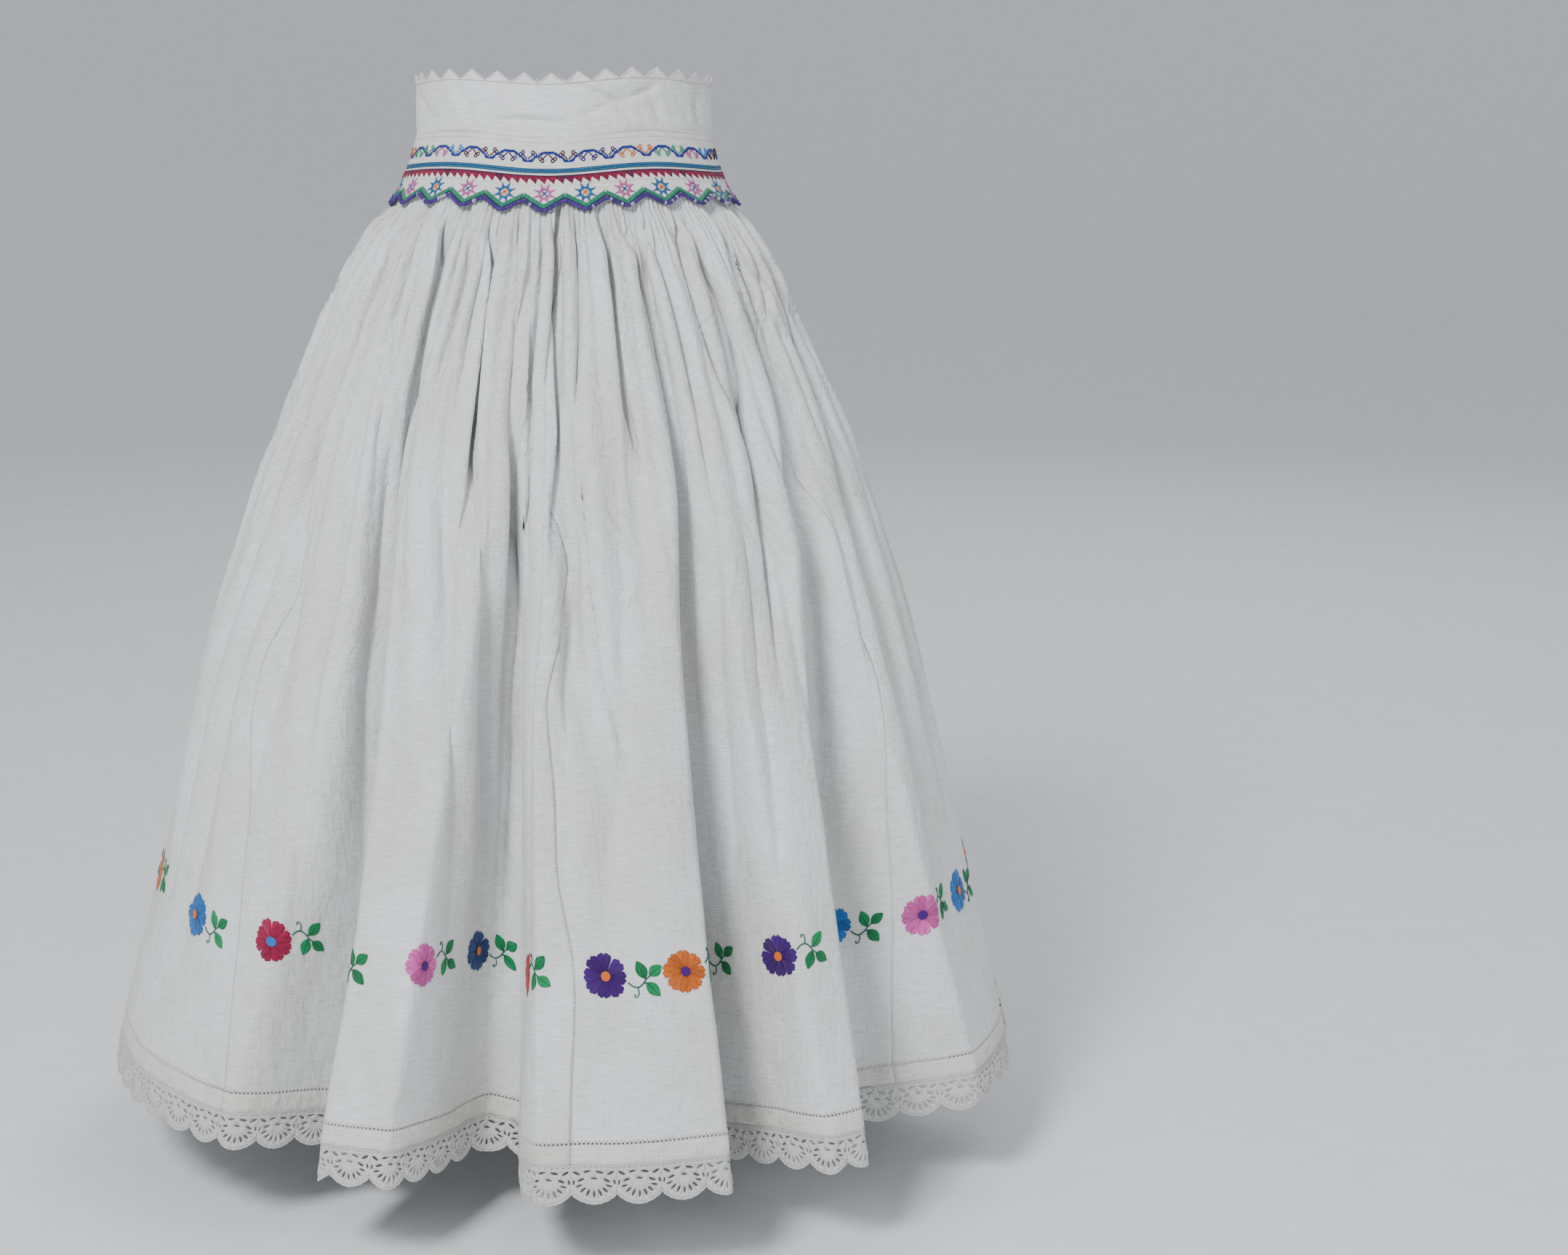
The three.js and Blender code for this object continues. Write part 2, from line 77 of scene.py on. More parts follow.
# %% [markdown]
# Materials need many small nodes. One function adds a node, sets what is a value and links
# what is another node's output, so every recipe below reads as a list of ingredients.
# Colours are written as the hex values that a screen shows and turned to linear light.

# %% Colours and nodes
def linear(hex_colour):
    channels = [int(hex_colour[i:i + 2], 16) / 255 for i in (1, 3, 5)]
    curve = [c / 12.92 if c <= 0.04045 else ((c + 0.055) / 1.055) ** 2.4 for c in channels]
    return (*curve, 1)


def add(tree, kind, inputs=None, **settings):
    node = tree.nodes.new(kind)
    for name, value in settings.items():
        setattr(node, name, value)
    for name, value in (inputs or {}).items():
        socket = node.inputs[name]
        if isinstance(value, bpy.types.NodeSocket):
            tree.links.new(value, socket)
        else:
            socket.default_value = value
    return node


def new_material(name, roughness, sheen=0.0):
    material = bpy.data.materials.new(name)
    material.use_nodes = True
    shader = material.node_tree.nodes["Principled BSDF"]
    shader.inputs["Roughness"].default_value = roughness
    shader.inputs["Sheen Weight"].default_value = sheen
    shader.inputs["Sheen Roughness"].default_value = 0.5
    shader.inputs["Specular IOR Level"].default_value = 0.25
    return material, material.node_tree, shader


# %% [markdown]
# Homespun linen is a plain weave of hand-spun thread, about 14 threads to the centimetre.
# The thread is uneven: thick places, called slubs, run along the weft as short pale streaks.
# The darker tone between them is partly the thread's own and partly painted shade beside the
# raised slubs.
# At the size of the picture a single thread is finer than a pixel, so the weave is drawn at
# 1.2 mm and the slubs at their real 10 to 30 mm. The pattern reads the UV map, which is the
# flat cloth in millimetres, so it bends and gathers with the cloth.

# %% The linen material
WEAVE_MM = 1.2
WEFT_SLUB_MM = (18, 0.9)
WARP_SLUB_MM = (1.0, 26)
CRUMPLE_MM = (14, 26)
PUCKER_MM = (4, 7)
STAIN_MM = (90, 140)


def noise(tree, uv, cell, detail):
    """Noise whose cells are that many millimetres of cloth wide and high."""
    scale = (1 / cell[0], 1 / cell[1], 1)
    scaled = add(tree, "ShaderNodeMapping", {"Vector": uv, "Scale": scale}).outputs[0]
    return add(tree, "ShaderNodeTexNoise", {
        "Vector": scaled, "Scale": 1.0, "Detail": detail, "Roughness": 0.6,
    }, noise_dimensions="2D").outputs["Fac"]


def stripes(tree, uv, period, direction, distortion=1.5):
    """Soft ridges across the cloth, that many millimetres apart."""
    return add(tree, "ShaderNodeTexWave", {
        "Vector": uv, "Scale": math.pi / 10 / period, "Distortion": distortion,
        "Detail": 2.0, "Detail Scale": 0.15 / period,
    }, wave_type="BANDS", bands_direction=direction).outputs["Fac"]


def blend_colours(tree, factor, first, second, blend="MIX"):
    mix = add(tree, "ShaderNodeMix", {0: factor, 6: first, 7: second},
              data_type="RGBA", blend_type=blend)
    return mix.outputs[2]


def stretch(tree, value, low, high, to_low=0.0, to_high=1.0):
    return add(tree, "ShaderNodeMapRange", {
        "Value": value, "From Min": low, "From Max": high, "To Min": to_low, "To Max": to_high,
    }).outputs[0]


def bump(tree, height, distance, strength, before=None):
    inputs = {"Height": height, "Strength": strength, "Distance": distance * MM}
    if before is not None:
        inputs["Normal"] = before
    return add(tree, "ShaderNodeBump", inputs).outputs[0]


def linen(name, pale, deep, crumple):
    material, tree, shader = new_material(name, 0.88, sheen=0.1)
    uv = add(tree, "ShaderNodeUVMap", uv_map="cloth").outputs["UV"]
    weft = noise(tree, uv, WEFT_SLUB_MM, 3)
    warp = noise(tree, uv, WARP_SLUB_MM, 3)
    warp = stretch(tree, warp, 0, 1, 0.3, 0.7)
    streaks = add(tree, "ShaderNodeMath", {0: weft, 1: warp}, operation="ADD").outputs[0]
    # the thread colour runs from deep where the slub streaks are low to pale on them: the deep end is
    # partly the linen's own tone and partly painted shade beside the raised slubs
    thread = blend_colours(tree, stretch(tree, streaks, 0.75, 1.2), linear(deep), linear(pale))
    age = stretch(tree, noise(tree, uv, STAIN_MM, 3), 0.35, 0.62)
    worn = blend_colours(tree, age, linear("#f5f3ec"), linear("#ffffff"))
    colour = blend_colours(tree, 1.0, thread, worn, "MULTIPLY")
    tree.links.new(colour, shader.inputs["Base Color"])
    across = stripes(tree, uv, WEAVE_MM, "X")
    down = stripes(tree, uv, WEAVE_MM, "Y")
    weave = add(tree, "ShaderNodeMath", {0: across, 1: down}, operation="ADD").outputs[0]
    normal = bump(tree, weave, 0.12, 0.6)
    normal = bump(tree, streaks, 0.5, 0.8, normal)
    normal = bump(tree, noise(tree, uv, PUCKER_MM, 3), 1.0, 0.5 * crumple, normal)
    normal = bump(tree, noise(tree, uv, CRUMPLE_MM, 2), 4.0, 0.5 * crumple, normal)
    tree.links.new(normal, shader.inputs["Normal"])
    return material


# each linen's second colour is its darker tone, partly painted shade beside the slubs
SKIRT_LINEN = linen("homespun_linen_hand_woven", "#edf0f2", "#d3d5d5", 1.0)
HEM_LINEN = linen("homespun_linen_double_hem", "#e9e9e6", "#cdccc7", 1.3)

# %% [markdown]
# A photographer's paper sweep: a pale floor just below the hem that curves up into walls, all
# round, so that no horizon shows from any side. Its profile is drawn once and spun. The
# photograph is lit from the front and a little from the left and above, so ridges are bright
# and the deep folds fall off to grey. One big soft key gives that. A weak fill opens the folds.

# %% The sweep and the light
FLOOR_Z = -0.86
SWEEP_RADIUS, SWEEP_CURVE, SWEEP_HEIGHT = 5.0, 2.5, 6.0
paper, paper_tree, paper_shader = new_material("pale_paper_sweep", 0.9)
grain_at = add(paper_tree, "ShaderNodeTexCoord").outputs["Object"]
grain_node = add(paper_tree, "ShaderNodeTexNoise", {"Vector": grain_at, "Scale": 40.0, "Detail": 3.0})
grain = stretch(paper_tree, grain_node.outputs["Fac"], 0.3, 0.7)
paper_tone = blend_colours(paper_tree, grain, linear("#eff0f2"), linear("#f4f5f6"))
paper_tree.links.new(paper_tone, paper_shader.inputs["Base Color"])
sweep = bmesh.new()
profile = [(0, 0), (SWEEP_RADIUS, 0)]
for step in range(1, 13):
    angle = math.radians(90 * step / 12)
    profile.append((SWEEP_RADIUS + SWEEP_CURVE * math.sin(angle), SWEEP_CURVE * (1 - math.cos(angle))))
profile.append((SWEEP_RADIUS + SWEEP_CURVE, SWEEP_HEIGHT))
verts = [sweep.verts.new((x, 0, FLOOR_Z + z)) for x, z in profile]
edges = [sweep.edges.new(pair) for pair in zip(verts, verts[1:])]
bmesh.ops.spin(sweep, geom=verts + edges, cent=(0, 0, 0), axis=(0, 0, 1), angle=2 * math.pi, steps=72,
               use_merge=True, use_duplicate=False)
bmesh.ops.remove_doubles(sweep, verts=sweep.verts, dist=1e-5)
sweep_data = bpy.data.meshes.new("paper_sweep")
sweep.to_mesh(sweep_data)
sweep.free()
sweep_data.materials.append(paper)
sweep_data.shade_smooth()
floor = bpy.data.objects.new("paper_sweep", sweep_data)
bpy.context.scene.collection.objects.link(floor)


def soft_light(name, place, aim, size, power, colour):
    light = bpy.data.lights.new(name, "AREA")
    light.shape = "DISK"
    light.size = size
    light.energy = power
    light.color = linear(colour)[:3]
    lamp = bpy.data.objects.new(name, light)
    lamp.location = place
    lamp.rotation_euler = (Vector(aim) - Vector(place)).to_track_quat("-Z", "Y").to_euler()
    bpy.context.scene.collection.objects.link(lamp)
    return lamp


soft_light("key", (-1.3, -2.6, 1.9), (0, 0, -0.35), 1.0, 128, "#fbfcff")
soft_light("fill", (2.2, -1.8, 0.6), (0, 0, -0.4), 1.8, 18, "#f2f6ff")
soft_light("back", (1.6, 3.0, 2.6), (0, 0, -0.3), 2.0, 45, "#fbfcff")
world = bpy.data.worlds.new("studio")
world.use_nodes = True
world.node_tree.nodes["Background"].inputs["Color"].default_value = linear("#e6e9ee")
world.node_tree.nodes["Background"].inputs["Strength"].default_value = 0.5
bpy.context.scene.world = world
print("floor at", FLOOR_Z, "m")

# %% [markdown]
# The form of the skirt comes first, because everything is draped on it. It is the same form
# as the solid part's, from the same tables: an ellipse that widens down the thread, less a
# row of valleys between the big folds. Each thread keeps its length, so it hangs lower
# where the cloth runs inwards.

# %% The form's tables
ENVELOPE = {
    "drop": [-15, 0, 8, 16, 40, 90, 150, 225, 300, 400, 500, 600, 700, 790],
    "half_width": [131.1, 137.7, 141.2, 147.2, 161, 186, 210, 240, 266, 298, 325, 350, 377, 397],
    "half_depth": [103.1, 109.7, 113.2, 118.4, 130, 152, 175, 204, 230, 260, 286, 310, 334, 353],
}
VALLEY_DROPS = [60, 200, 350, 500, 740]
# angle at each drop, depth at each drop, half width above and below, flat share
VALLEYS = [
    ([-132, -130, -127, -126, -129], [10, 28, 46, 66, 96], (5, 8), 0.1),
    ([-114, -112, -111, -110, -110], [7, 12, 4, 0, 0], (4.5, 5), 0),
    ([-99, -99, -101, -102, -103], [6, 14, 44, 84, 134], (4, 10), 0.3),
    ([-92, -91, -88, -83, -84], [8, 12, 17, 8, 0], (4, 5), 0),
    ([-74, -73, -74, -75, -75], [6, 10, 3, 0, 0], (4, 5), 0),
    ([-64, -63, -64, -64, -62], [8, 16, 42, 76, 122], (4, 7.5), 0.2),
    ([-42, -45, -50, -51, -50], [7, 14, 10, 3, 0], (4.5, 5), 0),
    ([-28, -33, -38, -39, -38], [6, 14, 30, 58, 86], (4, 12.5), 0.45),
    ([-14, -19, -20, -22, -22], [5, 10, 9, 3, 0], (4.5, 5), 0),
    ([-1, -5, -6, -5, -4], [6, 12, 30, 46, 54], (4, 6), 0),
    ([15, 12, 14, 16, 13], [8, 18, 36, 58, 84], (5, 8), 0.1),
    ([28, 29, 27, 28, 28], [6, 10, 5, 0, 0], (4, 5), 0),
    ([42, 42, 39, 38, 40], [6, 16, 34, 62, 100], (4, 9), 0.2),
    ([54, 53, 55, 54, 54], [5, 12, 7, 2, 0], (4.5, 5), 0),
    ([67, 64, 66, 65, 63], [8, 20, 38, 58, 80], (5, 7), 0),
    ([80, 79, 78, 79, 79], [6, 11, 4, 0, 0], (4, 5), 0),
    ([92, 94, 92, 96, 94], [5, 12, 30, 56, 96], (4, 9), 0.2),
    ([106, 105, 107, 106, 106], [6, 12, 6, 0, 0], (4.5, 5), 0),
    ([118, 117, 119, 117, 120], [7, 18, 40, 64, 88], (5, 8), 0.1),
    ([132, 131, 130, 131, 131], [5, 10, 5, 0, 0], (4, 5), 0),
    ([146, 147, 143, 145, 143], [8, 20, 42, 70, 108], (4.5, 9), 0.25),
    ([158, 158, 157, 158, 158], [6, 12, 5, 0, 0], (4, 5), 0),
    ([170, 171, 169, 168, 170], [7, 14, 32, 54, 78], (5, 7.5), 0),
    ([207, 208, 215, 219, 219], [7, 14, 8, 0, 0], (4.5, 6), 0),
]
FRONT_SEAM_ANGLE = -89.5
TOP_DROP = -15
TOP_DROP_Z = -31.5
DROP_STEP = 4
ANGLE_STEPS = 2880
THREADS = 3600


def read(stations, values, at):
    """A smooth curve through values at stations, read at one place."""
    last = len(stations) - 1
    i = min(max(int(np.searchsorted(stations, at)) - 1, 0), last - 1)

    def slope(k):
        before, after = max(k - 1, 0), min(k + 1, last)
        return (values[after] - values[before]) / (stations[after] - stations[before])

    span = stations[i + 1] - stations[i]
    t = min(max((at - stations[i]) / span, 0), 1)
    return ((2 * t - 3) * t * t + 1) * values[i] + ((t - 2) * t + 1) * t * span * slope(i) \
        + (3 - 2 * t) * t * t * values[i + 1] + (t - 1) * t * t * span * slope(i + 1)


# %% One level of the form, as threads spaced evenly along the cloth
def level_at(drop):
    angles = FRONT_SEAM_ANGLE + np.linspace(0, 360, ANGLE_STEPS + 1)
    half_width = read(ENVELOPE["drop"], ENVELOPE["half_width"], drop)
    half_depth = read(ENVELOPE["drop"], ENVELOPE["half_depth"], drop)
    turn = np.radians(angles)
    radius = half_width * half_depth / np.hypot(half_depth * np.cos(turn), half_width * np.sin(turn))
    low = np.clip((drop - VALLEY_DROPS[0]) / (VALLEY_DROPS[-1] - VALLEY_DROPS[0]), 0, 1)
    fade = min((drop - TOP_DROP) / (VALLEY_DROPS[0] - TOP_DROP), 1)
    for angle, depth, half, floor in VALLEYS:
        away = np.abs((angles - read(VALLEY_DROPS, angle, drop) + 540) % 360 - 180)
        away /= half[0] + (half[1] - half[0]) * low
        t = np.clip((away - floor) / (1 - floor), 0, 1)
        radius -= max(read(VALLEY_DROPS, depth, drop), 0) * fade * (1 + np.cos(np.pi * t)) / 2
    x, y = radius * np.cos(turn), radius * np.sin(turn)
    along = np.concatenate([[0], np.cumsum(np.hypot(np.diff(x), np.diff(y)))])
    even = np.linspace(0, along[-1], THREADS, endpoint=False)
    return np.interp(even, along, x), np.interp(even, along, y), along


# %% The whole form, thread by thread
DROPS = np.arange(TOP_DROP, 792, DROP_STEP)
FORM = np.zeros((len(DROPS), THREADS, 3))
ALONG = []
for row, drop in enumerate(DROPS):
    FORM[row, :, 0], FORM[row, :, 1], along = level_at(drop)
    ALONG.append(along)
    if row == 0:
        FORM[row, :, 2] = TOP_DROP_Z
        continue
    sideways = np.hypot(*(FORM[row, :, :2] - FORM[row - 1, :, :2]).T)
    FORM[row, :, 2] = FORM[row - 1, :, 2] - np.sqrt(np.maximum(DROP_STEP ** 2 - sideways ** 2, 1))
print("the form's lowest point:", round(FORM[..., 2].min()), "mm")

# %% [markdown]
# The form so far is the solid's: big folds only. Real gathers have three more tiers, and
# each one is finer and shorter than the tier below it. About 200 tiny ribs sit right under
# the band. They merge into 84 pleats, round on top and parted by sharp valleys, and those
# into 54 long folds, which run out at uneven lengths. Over them lie single creases. The
# creases at the front are given one row each, as they lie in the photograph.
# Those at the sides and the back are drawn from seeded random numbers of the same sizes. A
# crease is a narrow hollow whose two lips lean over it, which is what makes it a dark line
# and not a soft dent.

# %% The creases at the front: depth, width and lean, then drop and angle from top to bottom
FRONT_CREASES = [
    (5, 4, 0.3, [(10, -154), (70, -153), (110, -150), (150, -150)]),
    (7, 5, 0.5, [(10, -146), (49, -143), (137, -138), (220, -134)]),
    (9, 6, 0.4, [(10, -137), (71, -132), (162, -132), (265, -128), (390, -127)]),
    (5, 4, -0.4, [(8, -128), (48, -126), (121, -126), (210, -128)]),
    (9, 4, 0.6, [(15, -118), (59, -114), (123, -112), (240, -112)]),
    (5, 4, 0.2, [(10, -108), (39, -106), (150, -103)]),
    (5, 4, -0.3, [(120, -99), (184, -97), (250, -97)]),
    (4, 3, 0.0, [(10, -102), (51, -101), (80, -101)]),
    (9, 3.5, 0.5, [(5, -92), (40, -92.5), (153, -92.5), (197, -92), (260, -92.5), (300, -92.5)]),
    (4, 5, 0.3, [(15, -84), (70, -84), (130, -84)]),
    (10, 4, -0.6, [(15, -76), (60, -74), (118, -75), (160, -74), (225, -72)]),
    (9, 4, -0.5, [(25, -68), (45, -66), (73, -64), (176, -63), (272, -63), (400, -64)]),
    (4, 3, -0.3, [(12, -58), (57, -62), (95, -62)]),
    (8, 5, -0.5, [(15, -46), (51, -50), (127, -50), (175, -48)]),
    (10, 4, -0.7, [(35, -43), (77, -41), (154, -42), (205, -46), (300, -48), (400, -51)]),
    (9, 5, -0.6, [(15, -30), (74, -33), (146, -33), (206, -34), (300, -38), (440, -41)]),
    (6, 5, -0.4, [(20, -22), (55, -21), (110, -26)]),
    (8, 5, -0.6, [(60, -12), (150, -18), (278, -23), (430, -25), (560, -24)]),
    (4, 4, 0.3, [(205, -112), (240, -110), (275, -108), (310, -107)]),
    (10, 6, 0.6, [(195, -102), (290, -101), (424, -102), (533, -103), (640, -103)]),
    (8, 6, -0.6, [(230, -86), (298, -86), (339, -85), (389, -84), (427, -82), (520, -83)]),
]
HIDDEN_CREASES = 44
HIDDEN_FROM, HIDDEN_TO = -8, 198
SHORT_CREASES = 30
# how many of each tier there are, and how far each stands proud in millimetres
RIBS, RIB_MM = 204, 1.45
PLEATS, PLEAT_MM = 84, 3.5
FOLDS, FOLD_MM = 54, 5.6
SHARES = np.arange(THREADS) / THREADS
DOWN = DROPS[:, None].astype(float)


def share_of(drop, angle):
    """How far round the cloth an angle lies, at one drop."""
    along = ALONG[int(round((drop - TOP_DROP) / DROP_STEP))]
    turn = (angle - FRONT_SEAM_ANGLE) % 360
    return np.interp(turn, np.linspace(0, 360, ANGLE_STEPS + 1), along) / along[-1]


def fade(drops, start, end):
    """1 above start, 0 below end, smooth between."""
    t = np.clip((drops - start) / (end - start), 0, 1)
    return 1 - t * t * (3 - 2 * t)


def bicubic(knots, x, y):
    """A smooth surface over a net of knots that closes on itself sideways."""
    def weights(t):
        return [(1 - t) ** 3 / 6, (3 * t ** 3 - 6 * t ** 2 + 4) / 6,
                (-3 * t ** 3 + 3 * t ** 2 + 3 * t + 1) / 6, t ** 3 / 6]
    i, j = x.astype(int), y.astype(int)
    across = sum(w * knots[:, (i + k - 1) % knots.shape[1]] for k, w in enumerate(weights(x - i)))
    return sum(w * across[j + k] for k, w in enumerate(weights((y - j)[:, None])))


def smooth_noise(cells_round, cells_down, seed):
    """Smooth random heights from about -1 to 1 over the whole cloth."""
    knots = np.random.default_rng(seed).normal(0, 1, (cells_down + 3, cells_round))
    return bicubic(knots, SHARES * cells_round, np.linspace(0, cells_down - 1e-6, len(DROPS)))


# %% Heights of the ribs, the pleats and the folds
LENGTHS = np.array([along[-1] for along in ALONG])[:, None]


def ridges(count, wander, cells, seed):
    """Round ridges with sharp valleys between them, heights from -1 to 1, unevenly wide."""
    phase = np.pi * count * SHARES + wander * smooth_noise(*cells, seed)
    return 2 * np.abs(np.sin(phase)) ** 0.8 - 1


rib_heights = RIB_MM * (1 + 0.35 * smooth_noise(115, 4, 12)) * fade(DOWN, 30, 84)
HEIGHTS = ridges(RIBS, 0.7, (60, 4), 11) * rib_heights
pleat_ends = 260 + 100 * smooth_noise(PLEATS, 1, 19)[:1]
pleat_heights = PLEAT_MM * np.clip(1 + 0.5 * smooth_noise(52, 3, 17), 0.2, 1.7)
pleat_heights *= (1 - fade(DOWN, 4, 60)) * fade(DOWN, pleat_ends - 130, pleat_ends + 90)
HEIGHTS += ridges(PLEATS, 1.0, (38, 4), 16) * pleat_heights
fold_ends = 560 + 100 * smooth_noise(FOLDS, 1, 22)[:1]
fold_heights = FOLD_MM * np.clip(1 + 0.5 * smooth_noise(34, 3, 23), 0.2, 1.7)
fold_feet = np.minimum(fold_ends + 120, 710)
fold_heights *= (1 - fade(DOWN, 120, 260)) * fade(DOWN, fold_ends - 190, fold_feet)
HEIGHTS += ridges(FOLDS, 1.0, (26, 4), 24) * fold_heights
print("tiers:", RIBS, "ribs,", PLEATS, "pleats and", FOLDS, "folds")

# %% Creases, pressed in one by one: each lowers its middle and draws its lips together
SLIDES = np.zeros_like(HEIGHTS)


def press_crease(depth, width, lean, path):
    drops = np.array([drop for drop, angle in path], float)
    shares = np.unwrap([share_of(drop, angle) for drop, angle in path], period=1)
    centre = np.array([read(drops, shares, drop) for drop in DROPS])[:, None]
    away = ((SHARES - centre + 0.5) % 1 - 0.5) * LENGTHS
    start, end = drops[0], drops[-1]
    strength = (1 - fade(DOWN, start - 20, start + 20)) * fade(DOWN, end - 0.3 * (end - start), end + 30)
    width = width * (0.6 + 0.4 * np.clip(DOWN / 200, 0, 1.6))
    t = away / width
    hollow = np.exp(-np.abs(t) ** 1.3)
    banks = 0.22 * np.exp(-((np.abs(t) - 2.4) / 1.3) ** 2)
    HEIGHTS[:] += strength * depth * (banks - hollow)
    lip = np.abs(t) * np.exp(1 - np.abs(t))
    SLIDES[:] -= 0.3 * strength * width * lip * (np.sign(t) + 0.6 * lean)


def press_random(rng, angle, start, reach, deepest):
    """A crease of seeded random depth and lean, as those that the photograph shows."""
    wander = rng.normal(0, 2.5, 3) * min(reach / 300, 1)
    path = [(start + reach * share, angle + turn) for share, turn in zip((0, 0.4, 1), wander)]
    depth = rng.uniform(0.45, 1) * deepest * min(0.6 + reach / 400, 1)
    press_crease(depth, rng.uniform(2.8, 4.4), rng.uniform(-0.7, 0.7), path)


DEEPER, NARROWER = 1.25, 0.85
for depth, width, lean, path in FRONT_CREASES:
    press_crease(DEEPER * depth, NARROWER * width, lean, path)
RNG = np.random.default_rng(7)
for k in range(HIDDEN_CREASES):
    angle = HIDDEN_FROM + (HIDDEN_TO - HIDDEN_FROM) * (k + 0.5 + RNG.uniform(-0.35, 0.35)) / HIDDEN_CREASES
    press_random(RNG, angle, RNG.uniform(5, 30), 70 + 330 * RNG.uniform() ** 1.5, 11)
for k in range(SHORT_CREASES):
    angle = 360 * (k + RNG.uniform(-0.4, 0.4)) / SHORT_CREASES
    press_random(RNG, angle, RNG.uniform(5, 20), RNG.uniform(60, 170), 6)
print("creases:", len(FRONT_CREASES) + HIDDEN_CREASES + SHORT_CREASES)

# %% Soft waves and crumples, from the widest to the finest, and a pucker along the hem
low = 1 - fade(DOWN, 40, 240)
long_waves = smooth_noise(64, 4, 13)
HEIGHTS += 3.2 * np.tanh(1.6 * long_waves) * (1 - fade(DOWN, 90, 260))
HEIGHTS += 1.2 * smooth_noise(118, 6, 14) * low
HEIGHTS += 0.5 * smooth_noise(190, 22, 18) * low
HEIGHTS += 0.26 * smooth_noise(300, 44, 15)
HEIGHTS += 0.5 * smooth_noise(250, 60, 20) * (1 - fade(DOWN, 722, 744))
print("heights from", round(HEIGHTS.min(), 1), "to", round(HEIGHTS.max(), 1), "mm")

# %% Slides are held back where threads would cross
# neighbouring threads keep about 15 percent of their spacing at the least
CLOSEST = -0.85
spacing = LENGTHS / THREADS
stretching = np.diff(SLIDES, axis=1, append=SLIDES[:, :1]) / spacing
stretching = np.maximum(stretching, CLOSEST)
stretching -= stretching.mean(axis=1, keepdims=True)
middle_slide = SLIDES.mean(axis=1, keepdims=True)
SLIDES = np.cumsum(stretching, axis=1) * spacing
SLIDES += middle_slide - SLIDES.mean(axis=1, keepdims=True)
print("slides from", round(SLIDES.min(), 1), "to", round(SLIDES.max(), 1), "mm")


# %% The creased cloth
def normals_of(grid):
    across = np.roll(grid, -1, 1) - np.roll(grid, 1, 1)
    down = np.gradient(grid, axis=0)
    out = np.cross(down, across)
    return out / np.linalg.norm(out, axis=2, keepdims=True)


TANGENTS = np.roll(FORM, -1, 1) - np.roll(FORM, 1, 1)
TANGENTS /= np.linalg.norm(TANGENTS, axis=2, keepdims=True)
CREASED = FORM + normals_of(FORM) * HEIGHTS[..., None] + TANGENTS * SLIDES[..., None]
print("creased cloth:", CREASED.shape[0], "rows of", CREASED.shape[1], "threads")

# %% The same cloth with its threads evenly spaced along it again
steps = np.linalg.norm((np.roll(CREASED, -1, 1) - CREASED)[..., :2], axis=2)
gone = np.cumsum(steps, axis=1) - steps
ROUNDS = steps.sum(axis=1)
# a thread keeps its way from row to row, so its share of the cloth changes slowly
ROWS_MIXED = np.array([1, 2, 3, 4, 5, 6, 5, 4, 3, 2, 1]) / 36
uneven = gone / ROUNDS[:, None] - SHARES
uneven -= uneven.mean(axis=1, keepdims=True)
half_window = len(ROWS_MIXED) // 2
padded = np.pad(uneven, ((half_window, half_window), (0, 0)), mode="edge")
shares = SHARES + sum(weight * padded[k:k + len(DROPS)] for k, weight in enumerate(ROWS_MIXED))
CLOTH = np.zeros_like(FORM)
for row in range(len(DROPS)):
    for axis in range(3):
        CLOTH[row, :, axis] = np.interp(SHARES, shares[row], CREASED[row, :, axis], period=1)
CLOTH_NORMALS = normals_of(CLOTH)
HEM_DROP = 737
CLOTH_ROUND = float(np.interp(HEM_DROP, DROPS, ROUNDS))
print("cloth round at the hem", round(CLOTH_ROUND), "mm, at a third", round(ROUNDS[len(DROPS) // 3]), "mm")


def sample(grid, rows, columns):
    """Bilinear reading of a grid that closes on itself round the skirt."""
    i = np.clip(rows.astype(int), 0, grid.shape[0] - 2)
    columns = columns % grid.shape[1]
    k = columns.astype(int) % grid.shape[1]
    n = (k + 1) % grid.shape[1]
    s, t = (rows - i)[:, None], (columns - np.floor(columns))[:, None]
    upper = grid[i, k] * (1 - t) + grid[i, n] * t
    lower = grid[i + 1, k] * (1 - t) + grid[i + 1, n] * t
    return upper * (1 - s) + lower * s


def on_skirt(flat):
    """Flat skirt millimetres (along, up, out) to places in the frame, in metres."""
    rows = (-flat[:, 1] - TOP_DROP) / DROP_STEP
    columns = flat[:, 0] / CLOTH_ROUND * THREADS
    normal = sample(CLOTH_NORMALS, rows, columns)
    normal /= np.linalg.norm(normal, axis=1, keepdims=True)
    return (sample(CLOTH, rows, columns) + normal * flat[:, 2:]) * MM


# %% Every piece goes through these: from a flat bmesh to a draped object
def finish_piece(name, mesh, materials, place, replaces=(), closed=False):
    """Keeps the flat shape as the UV map in millimetres, drapes the mesh and hands it over."""
    if not mesh.loops.layers.uv.get("cloth"):
        uv = mesh.loops.layers.uv.new("cloth")
        for face in mesh.faces:
            for loop in face.loops:
                loop[uv].uv = loop.vert.co.xy
    if closed:
        for vert, spot in zip(mesh.verts, place(np.array([vert.co for vert in mesh.verts]))):
            vert.co = spot
        bmesh.ops.remove_doubles(mesh, verts=mesh.verts, dist=1e-6)
    data = bpy.data.meshes.new(name)
    mesh.to_mesh(data)
    mesh.free()
    if not closed:
        flat = np.empty(len(data.vertices) * 3)
        data.vertices.foreach_get("co", flat)
        data.vertices.foreach_set("co", place(flat.reshape(-1, 3)).ravel())
    for material in materials:
        data.materials.append(material)
    data.shade_smooth()
    data.update()
    piece = bpy.data.objects.new(name, data)
    bpy.context.scene.collection.objects.link(piece)
    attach(piece, "root")
    if replaces:
        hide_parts(*replaces)
    return piece


def thicken(piece, thickness):
    """A wall of cloth: its outer face stays where it is."""
    wall = piece.modifiers.new("cloth", "SOLIDIFY")
    wall.thickness = thickness * MM
    wall.offset = -1
    return piece

